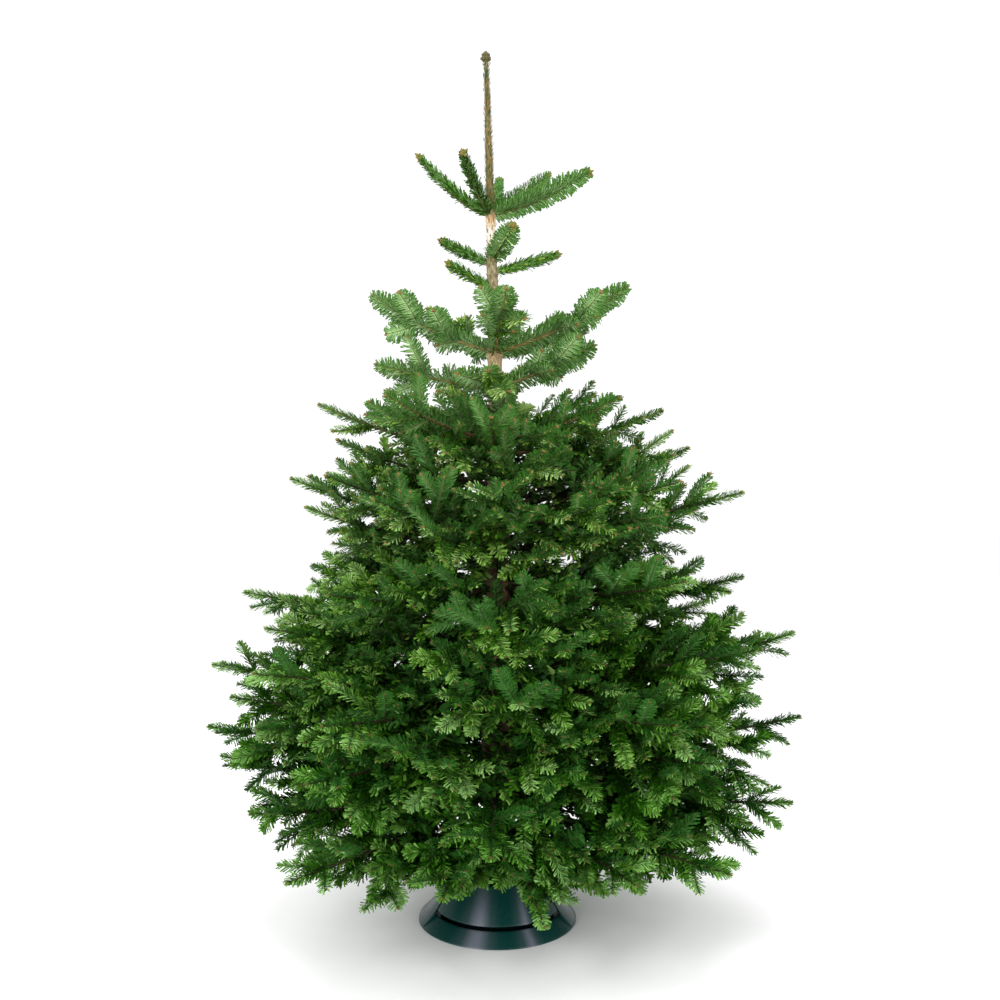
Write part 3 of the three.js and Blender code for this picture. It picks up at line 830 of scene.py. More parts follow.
def mixed(material, share, first, second, blend="MIX"):
    """Two colours mixed by a share. Each may be an output or a plain colour."""
    node = add_node(material, "ShaderNodeMix", data_type="RGBA", blend_type=blend)
    for number, value in ((0, share), (6, first), (7, second)):
        socket = node.inputs[number]
        if isinstance(value, bpy.types.NodeSocket):
            link(material, value, socket)
        elif isinstance(value, tuple):
            socket.default_value = (*value, 1)
        else:
            socket.default_value = value
    return node.outputs[2]


def bump_from(material, shader, sources):
    """Bumps laid one on the other, from (height output, depth in metres) pairs."""
    normal = None
    for height, depth in sources:
        bump = add_node(material, "ShaderNodeBump")
        bump.inputs["Distance"].default_value = depth
        link(material, height, bump.inputs["Height"])
        if normal is not None:
            link(material, normal, bump.inputs["Normal"])
        normal = bump.outputs["Normal"]
    link(material, normal, shader.inputs["Normal"])


def trunk_bark_material():
    """Grey-brown at the foot, tan between the upper whorls with a pale band that is partly a painted
    highlight, and olive on the leader.
    """
    material, shader = new_material("trunk_bark", 0.85, 0.25)
    _, split = places_on(material)
    height = ranged(material, split["Z"], (0.0, TREE_HEIGHT))
    ground = ramp_of(material, height, [
        (0.00, (0.070, 0.045, 0.028)),
        (0.50, (0.075, 0.046, 0.027)),
        (0.61, (0.420, 0.320, 0.180)),
        (0.66, (0.240, 0.180, 0.090)),
        (0.70, (0.190, 0.150, 0.075)),
        (0.765, (0.260, 0.220, 0.130)),
        # This pale band is partly the stem's paler bark and partly a painted highlight where it catches
        # the light below the top whorl.
        (0.785, (0.640, 0.600, 0.500)),
        (0.803, (0.520, 0.340, 0.190)),
        (0.822, (0.085, 0.078, 0.024)),
        (0.865, (0.170, 0.140, 0.052)),
        (0.905, (0.330, 0.190, 0.085)),
        (0.920, (0.300, 0.230, 0.110)),
        (0.934, (0.270, 0.090, 0.050)),
        (0.950, (0.110, 0.110, 0.035)),
        (0.970, (0.070, 0.130, 0.055)),
        (1.00, (0.110, 0.110, 0.030)),
    ])
    patches = object_pattern(material, "ShaderNodeTexNoise", (28, 28, 16), detail=6.0, roughness=0.62)
    pale = ramp_of(material, patches.outputs["Fac"], [(0.50, (0, 0, 0)), (0.62, (1, 1, 1))])
    brighter = mixed(material, 1.0, ground, (1.55, 1.60, 1.70), "MULTIPLY")
    colour = mixed(material, pale, ground, brighter)
    blots = object_pattern(material, "ShaderNodeTexNoise", (60, 60, 22), detail=4.0)
    dark = ramp_of(material, blots.outputs["Fac"], [(0.30, (0.45, 0.40, 0.36)), (0.52, (1, 1, 1))])
    colour = mixed(material, 1.0, colour, dark, "MULTIPLY")
    knot = add_node(material, "ShaderNodeAttribute", attribute_name="knot")
    colour = mixed(material, knot.outputs["Fac"], colour, (0.50, 0.31, 0.17))
    link(material, colour, shader.inputs["Base Color"])
    cracks = object_pattern(material, "ShaderNodeTexVoronoi", (85, 85, 40), feature="DISTANCE_TO_EDGE")
    grain = object_pattern(material, "ShaderNodeTexNoise", (240, 240, 120), detail=5.0)
    bump_from(material, shader, [(cracks.outputs["Distance"], 0.0012), (grain.outputs["Fac"], 0.0006)])
    return material


def limb_bark_material(bark):
    """Brown limbs with paler scales, which turn orange and olive up the tree."""
    material, shader = new_material("limb_bark", 0.8, 0.2)
    scales = object_pattern(material, "ShaderNodeTexNoise", (70, 70, 70), detail=6.0, roughness=0.6)
    brown = ramp_of(material, scales.outputs["Fac"], [
        (0.30, (0.030, 0.019, 0.010)),
        (0.55, tuple(bark.old_twig)),
        (0.80, (0.170, 0.130, 0.080)),
    ])
    orange = ramp_of(material, scales.outputs["Fac"], [
        (0.30, (0.200, 0.120, 0.040)),
        (0.50, (0.360, 0.240, 0.085)),
        (0.75, (0.520, 0.400, 0.210)),
    ])
    _, split = places_on(material)
    height = ranged(material, split["Z"], (0.0, TREE_HEIGHT))
    young = ramp_of(material, height, [(0.52, (0, 0, 0)), (0.66, (1, 1, 1))])
    olive = ramp_of(material, scales.outputs["Fac"], [
        (0.30, (0.040, 0.055, 0.012)),
        (0.70, (0.130, 0.135, 0.040)),
    ])
    topmost = ramp_of(material, height, [(0.715, (0, 0, 0)), (0.735, (1, 1, 1))])
    colour = mixed(material, topmost, mixed(material, young, brown, orange), olive)
    link(material, colour, shader.inputs["Base Color"])
    ridges = object_pattern(material, "ShaderNodeTexNoise", (260, 260, 260), detail=4.0)
    bump_from(material, shader, [(ridges.outputs["Fac"], 0.0008)])
    return material


# Painted shade: the recess under the bell's lip, within this radius and below this height, is coloured
# nearly black.
SHADED_RECESS_RADIUS = 0.1472  # the groove under the bell's lip lies within it
SHADED_RECESS_TOP = 0.035
RECESS_PAINTED_SHADE = (0.0010, 0.0035, 0.0035)


def plastic_material(stand):
    """Moulded plastic with painted reflections in soft grey bands, faint scuffs, painted shade in the
    recess under the bell's lip and a little dust.
    """
    material, shader = new_material("stand_plastic", stand.gloss, 0.15)
    place, split = places_on(material)
    low = ranged(material, split["Z"], (0.035, 0.0), (0.0, 0.15))
    cloud = object_pattern(material, "ShaderNodeTexNoise", (14, 14, 30), detail=5.0)
    dusty = reckoned(material, "MULTIPLY", low, cloud.outputs["Fac"])
    # Painted reflections: lighter grey bands at set turns round the axis, where the soft lights would
    # be mirrored.
    around = object_pattern(material, "ShaderNodeTexGradient", gradient_type="RADIAL")
    # dark is the plastic's own teal; light is the painted reflection's grey, and faint and half lie
    # between them.
    dark, light = tuple(stand.plastic), tuple(stand.painted_reflection)
    faint = tuple(one + (other - one) * 0.18 for one, other in zip(dark, light))
    half = tuple((one + other) / 2 for one, other in zip(dark, light))
    reflection_streaks = ramp_of(material, around.outputs["Fac"], [
        (0.000, dark), (0.150, dark), (0.176, faint), (0.198, light), (0.211, light),
        (0.233, faint), (0.256, dark), (0.284, dark), (0.304, faint), (0.320, light),
        (0.334, faint), (0.350, dark), (0.460, dark), (0.540, dark), (0.580, faint),
        (0.600, half), (0.640, dark), (0.690, faint), (0.720, light), (0.750, faint),
        (0.780, dark), (0.830, half), (0.880, dark), (1.000, dark)])
    # The painted reflections fade into the plain teal up the bell.
    rise = ranged(material, split["Z"], (0.045, 0.110), (0.0, 0.8))
    dust_and_reflections = mixed(material, dusty, mixed(material, rise, reflection_streaks, dark), tuple(stand.dust))
    # Painted shade: the recess under the bell's lip is coloured nearly black.
    flat = add_node(material, "ShaderNodeVectorMath", operation="MULTIPLY")
    link(material, place, flat.inputs[0])
    flat.inputs[1].default_value = (1.0, 1.0, 0.0)
    radius = add_node(material, "ShaderNodeVectorMath", operation="LENGTH")
    link(material, flat.outputs["Vector"], radius.inputs[0])
    within = reckoned(material, "LESS_THAN", radius.outputs["Value"], SHADED_RECESS_RADIUS)
    below = reckoned(material, "LESS_THAN", split["Z"], SHADED_RECESS_TOP)
    recess_shade = reckoned(material, "MULTIPLY", within, below)
    colour = mixed(material, recess_shade, dust_and_reflections, RECESS_PAINTED_SHADE)
    link(material, colour, shader.inputs["Base Color"])
    scuffs = object_pattern(material, "ShaderNodeTexNoise", (60, 60, 12), detail=2.0)
    rough = ranged(material, scuffs.outputs["Fac"], (0.3, 0.8),
                   (stand.gloss * 0.95, stand.gloss * 1.10))
    link(material, rough, shader.inputs["Roughness"])
    peel = object_pattern(material, "ShaderNodeTexNoise", (8, 8, 8), detail=0.0)
    bump_from(material, shader, [(peel.outputs["Fac"], 0.00006)])
    return material


def steel_material(stand):
    """Zinc-plated steel with fine turning marks."""
    material, shader = new_material("screw_steel", 0.35, 0.5)
    shader.inputs["Metallic"].default_value = 1.0
    cloud = object_pattern(material, "ShaderNodeTexNoise", (150, 150, 150), detail=5.0)
    colour = ramp_of(material, cloud.outputs["Fac"], [
        (0.35, tuple(channel * 0.6 for channel in stand.steel)),
        (0.65, tuple(stand.steel)),
    ])
    link(material, colour, shader.inputs["Base Color"])
    marks = object_pattern(material, "ShaderNodeTexNoise", (900, 900, 900), detail=2.0)
    bump_from(material, shader, [(marks.outputs["Fac"], 0.00008)])
    return material


# ---- bark


def wrapped_tube(sides, rings, place_of, knot_of=None):
    """A grid wrapped into a closed tube. place_of gives a point from its turn and ring."""
    shape = bmesh.new()
    layer = shape.verts.layers.float.new("knot") if knot_of else None
    bmesh.ops.create_grid(shape, x_segments=sides, y_segments=rings, size=0.5)
    for vert in shape.verts:
        turn = (vert.co.x + 0.5) * 2 * math.pi
        ring = (vert.co.y + 0.5) * rings
        vert.co = Vector(place_of(turn, ring))
        if knot_of:
            vert[layer] = knot_of(turn, ring)
    bmesh.ops.remove_doubles(shape, verts=shape.verts, dist=1e-6)
    open_edges = [edge for edge in shape.edges if len(edge.link_faces) == 1]
    bmesh.ops.holes_fill(shape, edges=open_edges, sides=0)
    return shape


def bark_height(point, size):
    """Relief of bark at a point, about -1 to 1, with plates of one size."""
    scaled = Vector(point) / size
    coarse = noise.noise(Vector((scaled.x, scaled.y, scaled.z * 0.45)))
    fine = noise.noise(scaled * 3.1)
    return 0.7 * coarse + 0.3 * fine


TRUNK_SMOOTH = math.radians(60)
LIMB_SMOOTH = math.radians(80)
TRUNK_PLATES = 0.012  # size of the bark's plates
LIMB_PLATES = 0.007
TRUNK_ROUGH = 0.02  # radius from which on the relief is whole
LIMB_ROUGH = 0.004
COLLAR_RISE = 0.3  # of a limb's radius, how far over its middle line its collar lies
COLLAR_END = 9  # limb radii up or down, beyond which a collar isn't felt
COLLAR_ABOVE = 0.8  # how steeply a collar fades upward
COLLAR_WIDE = 1.5  # limb radii
KNOT_TONE = 0.6


class FIR_OT_trunk(bpy.types.Operator):
    """Cover the frame's trunk with bark and collars round the limbs"""

    bl_idname = "fir.trunk"
    bl_label = "Trunk"

    def execute(self, context):
        bark = context.scene.fir_bark
        crown = crown_of(context)
        trunk = crown.trunk
        rings = round((trunk.crown - trunk.foot) / bark.trunk_ring)
        roots = [(limb.foot + COLLAR_RISE * limb.radius_at(0),
                  math.atan2(limb.out[1], limb.out[0]), limb.radius_at(0))
                 for limb in crown.limbs]

        def collar(turn, height, radius):
            """How near a limb's root is, from 0 to 1, and how much the trunk swells for it."""
            near, swell = 0.0, 0.0
            for foot, azimuth, thick in roots:
                if abs(foot - height) > COLLAR_END * thick:
                    continue
                aside = math.remainder(turn - azimuth, 2 * math.pi) * radius
                aloft = (height - foot) * (COLLAR_ABOVE if height > foot else bark.collar_run)
                distance = math.hypot(aside, aloft) / (thick * COLLAR_WIDE)
                share = math.exp(-distance * distance)
                near = max(near, share)
                swell = max(swell, share * thick * bark.collar)
            return near, swell

        def height_of(ring):
            return trunk.foot + (trunk.crown - trunk.foot) * ring / rings

        def place_of(turn, ring):
            height = height_of(ring)
            radius = float(trunk.radius_at(height))
            axis = trunk.axis_at(height)
            out = np.array([math.cos(turn), math.sin(turn), 0.0])
            rough = bark_height(axis + out * radius, TRUNK_PLATES) * bark.relief
            rough *= min(1, radius / TRUNK_ROUGH)
            return axis + out * (radius + rough + collar(turn, height, radius)[1])

        def knot_of(turn, ring):
            height = height_of(ring)
            return collar(turn, height, float(trunk.radius_at(height)))[0] * KNOT_TONE

        shape = wrapped_tube(bark.trunk_sides, rings, place_of, knot_of)
        mesh = mesh_from_bmesh("trunk_bark", shape, TRUNK_SMOOTH)
        finish_piece(object_from("trunk_bark", mesh), [trunk_bark_material()], ["trunk"])
        return {"FINISHED"}


class FIR_OT_limbs(bpy.types.Operator):
    """Cover every limb with bark, from inside the trunk to its tip"""

    bl_idname = "fir.limbs"
    bl_label = "Limbs"

    def execute(self, context):
        bark = context.scene.fir_bark
        whole = bmesh.new()
        for limb in crown_of(context).limbs:
            rings = max(4, round(limb.reach / bark.limb_ring))

            def place_of(turn, ring, limb=limb, rings=rings):
                along = ring / rings
                place = limb.place_at(along)
                side, over = across(limb.ahead_at(along))
                out = side * math.cos(turn) - over * math.sin(turn)
                radius = limb.radius_at(along)
                rough = bark_height(place + out * radius, LIMB_PLATES) * bark.limb_relief
                return place + out * (radius + rough * min(1, radius / LIMB_ROUGH))

            join_into(whole, wrapped_tube(bark.limb_sides, rings, place_of), LIMB_SMOOTH)
        mesh = mesh_from_bmesh("limb_bark", whole, LIMB_SMOOTH)
        finish_piece(object_from("limb_bark", mesh), [limb_bark_material(bark)],
                     nodes_named("tier_2_bough_"))
        return {"FINISHED"}


# ---- twigs, needles and buds, in joined arrays


def is_upright(shoot):
    """Whether a shoot of the top whorls holds its needles up all round it."""
    if TIERS[shoot.tier].years > 1:
        return False
    x, y, near = SPREAD_WAYS[shoot.tier]
    ahead = unit((shoot.end - shoot.start)[:2])
    return ahead[0] * x + ahead[1] * y < near


def columns_of(shoots):
    """The shoots' fields as arrays."""
    start = np.array([shoot.start for shoot in shoots])
    middle = np.array([shoot.middle for shoot in shoots])
    end = np.array([shoot.end for shoot in shoots])
    ahead = units(end - start)
    over = np.array([shoot.over for shoot in shoots])
    over = units(over - ahead * np.sum(over * ahead, axis=1, keepdims=True))
    return {
        "start": start, "middle": middle, "end": end, "ahead": ahead, "over": over,
        "side": np.cross(ahead, over),
        "length": np.linalg.norm(end - start, axis=1),
        "thick": np.array([shoot.thick for shoot in shoots]),
        "thin": np.array([shoot.thin for shoot in shoots]),
        "age": np.array([shoot.age for shoot in shoots]),
        "order": np.array([shoot.order for shoot in shoots]),
        "lit": shade_share([shoot.light for shoot in shoots]),
        "upright": np.array([is_upright(shoot) for shoot in shoots]),
        "flat": np.array([TIERS[shoot.tier].years < 3 for shoot in shoots]),
    }


TWIG_SIDES = 4
UPPER_TIERS = 6  # tiers whose twigs are one piece, in the upper twigs' colour


def twig_arrays(shoots):
    """Points and quads of one tapering four-sided bar for each shoot."""
    grid = columns_of(shoots)
    turns = [(1, 0), (0, 1), (-1, 0), (0, -1)]
    middling = (grid["thick"] + grid["thin"]) / 2
    rings = []
    for place, radius in ((grid["start"], grid["thick"]), (grid["middle"], middling),
                          (grid["end"], grid["thin"])):
        for across_share, over_share in turns:
            out = grid["side"] * across_share + grid["over"] * over_share
            rings.append(place + out * radius[:, None])
    points = np.stack(rings, axis=1).reshape(-1, 3)
    quads = [(3, 2, 1, 0), (8, 9, 10, 11)]
    for ring in (0, TWIG_SIDES):
        for corner in range(TWIG_SIDES):
            following = (corner + 1) % TWIG_SIDES
            quads.append((ring + corner, ring + following, ring + TWIG_SIDES + following,
                          ring + TWIG_SIDES + corner))
    first = np.arange(len(shoots))[:, None, None] * 3 * TWIG_SIDES
    faces = (np.array(quads)[None] + first).reshape(-1, 4)
    slots = np.repeat(np.where(grid["age"] < 2, 0, 1), len(quads))
    return points, faces, slots


class FIR_OT_twigs(bpy.types.Operator):
    """Make the side twigs, joined into a few pieces"""

    bl_idname = "fir.twigs"
    bl_label = "Twigs"

    def execute(self, context):
        bark = context.scene.fir_bark
        old = plain_material("old_twig", bark.old_twig, 0.8, 0.2)
        # The lower tiers' young twigs take the painted-shade copy of the bark.
        youngs = {"upper": plain_material("upper_twig", bark.young_twig, 0.7, 0.3),
                  "lower": plain_material("lower_twig", bark.shaded_twig, 0.7, 0.2)}
        for part, tiers in (("upper", list(TIERS)[:UPPER_TIERS]),
                            ("lower", list(TIERS)[UPPER_TIERS:])):
            shoots = [shoot for shoot in crown_of(context).shoots
                      if shoot.order > 0 and shoot.tier in tiers]
            mesh = mesh_from_arrays("twigs_" + part, *twig_arrays(shoots))
            finish_piece(object_from("twigs_" + part, mesh), [youngs[part], old])
        return {"FINISHED"}


# Share of its needles that a shoot still holds at each age in years.
HELD_NEEDLES = np.array([1.0, 0.95, 0.7, 0.4, 0.2, 0.1, 0.05, 0.0])
LIMB_HELD_NEEDLES = np.array([1.4, 0.9, 0.4, 0.15, 0.05, 0.0, 0.0, 0.0])
UPRIGHT_DENSER = 1.9  # needles of the whorls below the leader, all round their shoots
UPRIGHT_SHORTER = 0.80
FLAT_BROADER = 1.18
TIP_SHORTER = 0.42  # how much shorter the last needles before the buds are
FLAT_DENSER = 1.55  # needles of the upper limbs that part them
GREENS = ("deep", "mid", "fresh", "lime", "blue", "pale")
GREEN_CHANCES = np.array([  # of each green in turn, at ages 0, 1 and from 2 on
    [0.14, 0.48, 0.26, 0.04, 0.08, 0.00],
    [0.44, 0.42, 0.06, 0.00, 0.08, 0.00],
    [0.74, 0.20, 0.00, 0.00, 0.06, 0.00],
])
# Painted shade: the undersides go from the pale band at the top to the darker shaded colour low down.
PALENESS = {  # of the undersides, which show more the higher they are
    "top": 1.0, "tier_3": 0.55, "tier_4": 0.50, "tier_5": 0.40, "tier_6": 0.20, "tier_7": 0.10,
    "tier_8": 0.10}
# Painted light and shade: the greens are paler at the top, where the light falls fullest, and darker
# down the lower tiers, which the crown shades.
LIGHT_AND_SHADE_TINTS = {  # of the greens, against the colours in the settings
    "top": (1.70, 1.36, 1.60), "tier_3": (1.10, 1.06, 1.00),
    "tier_4": (0.95, 0.98, 0.92), "tier_5": (0.82, 0.91, 0.80), "tier_6": (0.66, 0.82, 0.66),
    "tier_7": (0.52, 0.76, 0.55), "tier_8": (0.56, 0.78, 0.58)}
TINTED = (1.0, 1.0, 0.9, 0.7, 1.0, 0.5)  # how far each green takes its piece's tint
LIGHTER = np.array([1, 2, 3, 5, 2, 5])  # the green one step lighter than each
DARKER = np.array([0, 0, 1, 2, 0, 3])
# The lighter needles at a young shoot's tip are partly the paler new growth and partly a painted
# highlight.
LIGHT_TIP = 0.50  # how far along a young shoot its lighter needles begin
STEP_SHARES = (0.30, 0.12)  # of the needles a step darker and a step lighter than their spray
TIP_SHARES = (0.16, 0.37)  # of a tip's needles as light as their spray, and two steps lighter
DULL_LIGHTS = (0.5, 0.2)  # with less light than these a shoot takes the greens of an older one
SPREADS = (165, 130)  # degrees from a shoot's top to its last needles, on limbs and on twigs
LEANS_OUT = (31, 20)  # degrees from the shoot, on its top, and how much more at its sides
FLAT_LEANS_OUT = (38, 34)
UPRIGHT_LEAN_OUT = math.radians(36)
LEAN_JITTER = math.radians(7)
WAY_JITTER = 0.08
FACE_JITTER = 0.22
FACE_OUT = 0.15  # how far a needle's face looks out from the shoot and not up
UPRIGHT_FACE_OUT = 0.9  # either out or in
TIP_RUN = 0.25  # of the shoot, where the needles change toward the buds
TIP_CLOSER = 0.25  # how much less the last needles lean out
SIDE_LENGTHS = (0.70, 0.30)  # of needles on the shoot's top, and how much more at its sides
RUN_LENGTHS = (0.66, 0.34)  # of needles at the shoot's ends, and how much more between
RUN = (0.12, 0.72)  # of a half turn, where the shoot begins in that rise and fall, and its run
LENGTH_DRAW = (0.88, 1.08)
FLAT_LONGER = 1.38
ROOT_DEPTH = 0.6  # of the shoot's radius
ROOT_HALF = 0.36  # half a needle's width there, of the width in the settings
TIP_HALF = 0.42
BLADE = np.array([(0, 1, 2), (0, 2, 3), (0, 3, 1), (3, 2, 1)])  # corners of its triangles
SPREAD_WAYS = {  # of the top whorls' shoots that part their needles: a way, and how near to it
    "tier_1": (0.89, -0.45, 0.10), "tier_1b": (0.15, -0.99, 0.50)}
MOST_NEEDLES = 48000  # in one piece


def blades(root, tip, half_root, half_tip, lift):
    """Points and triangles of needles with four corners, two of them raised and two sunk."""
    points = np.stack([root - half_root + lift, root + half_root - lift,
                       tip + half_tip + lift, tip - half_tip - lift], axis=1)
    faces = BLADE[None] + np.arange(len(root))[:, None, None] * points.shape[1]
    return points.reshape(-1, 3), faces.reshape(-1, 3)


def needle_counts(grid, settings):
    """How many needles each shoot holds by its age, its light and its kind."""
    ages = np.minimum(grid["age"], len(HELD_NEEDLES) - 1)
    held = np.where(grid["order"] == 0, LIMB_HELD_NEEDLES[ages], HELD_NEEDLES[ages])
    held = held * (SHADE_HELD + (1 - SHADE_HELD) * grid["lit"])
    held = held * np.where(grid["upright"], UPRIGHT_DENSER,
                           np.where(grid["flat"], FLAT_DENSER, 1.0))
    return np.round(grid["length"] * settings.per_metre * held).astype(int)


def needle_slots(grid, owner, along, random):
    """The slot of each needle's triangles. Its green is near its shoot's, and lighter at a tip, partly
    for the new growth and partly as a painted highlight.
    """
    tone = np.where(grid["upright"], 1, np.minimum(grid["age"], 2))
    tone = np.where(grid["lit"] < DULL_LIGHTS[0], np.maximum(tone, 1), tone)
    tone = np.where(grid["lit"] < DULL_LIGHTS[1], 2, tone)
    chances = GREEN_CHANCES[tone].cumsum(axis=1)
    drawn = random.uniform(0, 1, (len(tone), 1))
    green = np.minimum((drawn > chances).sum(axis=1), len(GREENS) - 1)[owner]
    chance = random.uniform(0, 1, len(owner))
    usual = np.where(chance < STEP_SHARES[0], DARKER[green], green)
    usual = np.where(chance > 1 - STEP_SHARES[1], LIGHTER[green], usual)
    tip = np.where(chance < TIP_SHARES[0], green, LIGHTER[green])
    tip = np.where(chance > 1 - TIP_SHARES[1], LIGHTER[LIGHTER[green]], tip)
    tips = (along > LIGHT_TIP) & ((grid["age"] == 0) & ~grid["upright"])[owner]
    slots = np.empty((len(owner), len(BLADE)), int)
    slots[:, :2] = np.where(tips, tip, usual)[:, None]
    slots[:, 2] = len(GREENS)
    slots[:, 3] = len(GREENS) + 1
    return slots.ravel()


def needle_arrays(shoots, settings, random):
    """Points, triangles and slots of the needles round some shoots.

    Each needle is a sliver of four triangles: two green ones over a raised diagonal, and
    under a sunk one a band that is pale and one that is less so.
    """
    grid = columns_of(shoots)
    broad = 1 + (SHADE_SPREAD - 1) * (1 - grid["lit"]) ** 2
    broad = broad * np.where(grid["flat"], FLAT_BROADER, 1.0)
    counts = needle_counts(grid, settings)
    owner = np.repeat(np.arange(len(shoots)), counts)
    total = len(owner)
    rank = np.arange(total) - np.repeat(np.cumsum(counts) - counts, counts)
    along = (rank + random.uniform(0.2, 0.8, total)) / counts[owner]
    phase = random.uniform(0, 2 * math.pi, len(shoots))
    turn = np.mod(rank * GOLDEN_ANGLE + phase[owner], 2 * math.pi) - math.pi
    half_spread = np.radians(np.where(grid["order"] == 0, *SPREADS))
    half_spread = np.where(grid["upright"], math.pi, half_spread)[owner]
    turn = np.sign(turn) * half_spread * np.abs(turn) / math.pi
    ahead, over, side = grid["ahead"][owner], grid["over"][owner], grid["side"][owner]
    radial = over * np.cos(turn)[:, None] + side * np.sin(turn)[:, None]
    level = np.abs(np.sin(turn))
    upright, flat = grid["upright"][owner], grid["flat"][owner]
    tip_share = np.clip((along - (1 - TIP_RUN)) / TIP_RUN, 0, 1)
    lean = np.where(flat, FLAT_LEANS_OUT[0] + FLAT_LEANS_OUT[1] * level,
                    LEANS_OUT[0] + LEANS_OUT[1] * level)
    lean = np.radians(lean) * (1 - TIP_CLOSER * tip_share)
    lean = np.where(upright, UPRIGHT_LEAN_OUT, lean)
    lean += random.normal(0, LEAN_JITTER, total)
    way = ahead * np.cos(lean)[:, None] + radial * np.sin(lean)[:, None]
    way = units(way + random.normal(0, WAY_JITTER, (total, 3)))
    either = random.choice((-UPRIGHT_FACE_OUT, UPRIGHT_FACE_OUT), total)
    outward = np.where(upright, either, FACE_OUT)[:, None]
    upward = over * (1 - np.abs(outward)) + radial * outward
    upward += random.normal(0, FACE_JITTER, (total, 3))
    face = units(upward - way * np.sum(upward * way, axis=1, keepdims=True))
    width = np.cross(way, face)
    between = np.sin(math.pi * np.clip(along * RUN[1] + RUN[0], 0, 1))
    length = settings.length * (SIDE_LENGTHS[0] + SIDE_LENGTHS[1] * level)
    length *= RUN_LENGTHS[0] + RUN_LENGTHS[1] * between
    length *= random.uniform(*LENGTH_DRAW, total) * np.where(flat, FLAT_LONGER, 1.0)
    length *= np.where(upright, UPRIGHT_SHORTER, 1.0)
    length *= 1 - TIP_SHORTER * tip_share * (grid["age"] == 0)[owner]
    radius = (grid["thick"] + grid["thin"]) / 2
    middle = grid["middle"][owner]
    first = grid["start"][owner] * (1 - along)[:, None] + middle * along[:, None]
    second = middle * (1 - along)[:, None] + grid["end"][owner] * along[:, None]
    root = first * (1 - along)[:, None] + second * along[:, None]
    root += radial * (radius[owner] * ROOT_DEPTH)[:, None]
    blade = width * (settings.width * broad[owner])[:, None]
    points, faces = blades(root, root + way * length[:, None], blade * ROOT_HALF,
                           blade * TIP_HALF, face * settings.thickness / 2)
    return points, faces, needle_slots(grid, owner, along, random)


def shared_out(shoots, settings):
    """The shoots in as few lists as keep each piece's needles under the most."""
    lists, held = [[]], 0
    for shoot in shoots:
        shares = LIMB_HELD_NEEDLES if shoot.order == 0 else HELD_NEEDLES
        length = np.linalg.norm(shoot.end - shoot.start)
        needles = length * settings.per_metre * shares[min(shoot.age, len(shares) - 1)]
        needles *= SHADE_HELD + (1 - SHADE_HELD) * shade_share(shoot.light)
        if TIERS[shoot.tier].years < 3:
            needles *= max(UPRIGHT_DENSER, FLAT_DENSER)
        if held + needles > MOST_NEEDLES:
            lists.append([])
            held = 0
        lists[-1].append(shoot)
        held += needles
    return lists


def scaled(colour, shares):
    """A colour with each channel taken times its share."""
    return [channel * share for channel, share in zip(colour, shares)]


def needle_materials(settings, piece):
    """The greens, the underside's pale band and its dim one, tinted for a piece with painted light and
    shade.
    """
    tint, pale = LIGHT_AND_SHADE_TINTS[piece], PALENESS[piece]
    materials = []
    for green, far in zip(GREENS, TINTED):
        colour = scaled(getattr(settings, green), [share ** far for share in tint])
        materials.append(plain_material(f"needle_{green}_{piece}", colour, 0.55, 0.04))
    # The pale band blended by tier into the shaded underside colour, a painted shade.
    under = [high * pale + low * (1 - pale) for high, low in zip(settings.under, settings.shaded)]
    for name, colour in (("under", under), ("midrib", settings.midrib)):
        materials.append(plain_material(f"needle_{name}_{piece}", scaled(colour, tint), 0.6, 0.1))
    return materials


class FIR_OT_needles(bpy.types.Operator):
    """Set needles round every shoot that still holds them, in joined pieces by tier"""

    bl_idname = "fir.needles"
    bl_label = "Needles"

    def execute(self, context):
        settings = context.scene.fir_needles
        random = np.random.default_rng(context.scene.fir_growth.seed + 1)
        shoots = crown_of(context).shoots
        for piece in dict.fromkeys(rule.piece for rule in TIERS.values()):
            tiers = [tier for tier, rule in TIERS.items() if rule.piece == piece]
            masses = [name for tier in tiers for name in nodes_named(tier + "_mass_")]
            own = [shoot for shoot in shoots if shoot.tier in tiers]
            materials = needle_materials(settings, piece)
            for number, some in enumerate(shared_out(own, settings), start=1):
                name = f"needles_{piece}_{number}"
                mesh = mesh_from_arrays(name, *needle_arrays(some, settings, random))
                finish_piece(object_from(name, mesh), materials, masses)
        return {"FINISHED"}


BUD_LIGHT = 0.80  # buds in deeper shade aren't made
BUD_SIZES = (0.0095, 0.0078)  # lengths on limbs and on twigs
LOW_BUD = 0.85  # how much shorter on the lower tiers
FLAT_BUD = 0.0115
TOP_BUD = 0.0165
BUD_DRAW = (0.85, 1.15)
BUD_TURN = 0.8  # radians, the most that a cluster is turned
BUD_SINK = 0.001  # into the shoot's end
BUD_CLUSTER = (  # lean and turn in degrees, share of the size, on the top whorls alone or not
    (0, 0, 1.1, False), (45, 30, 0.9, False), (45, 150, 0.9, False), (45, 270, 0.9, True),
    (80, 90, 0.9, True), (80, 210, 0.9, True), (80, 330, 0.9, True))
BUD_WAIST = (0.4, 0.33)  # how far along it lies and how wide it is, of the bud's length
OFF_UPRIGHT = np.array([0.013, 0.007, 0.0])  # so that an upright bud has a side too


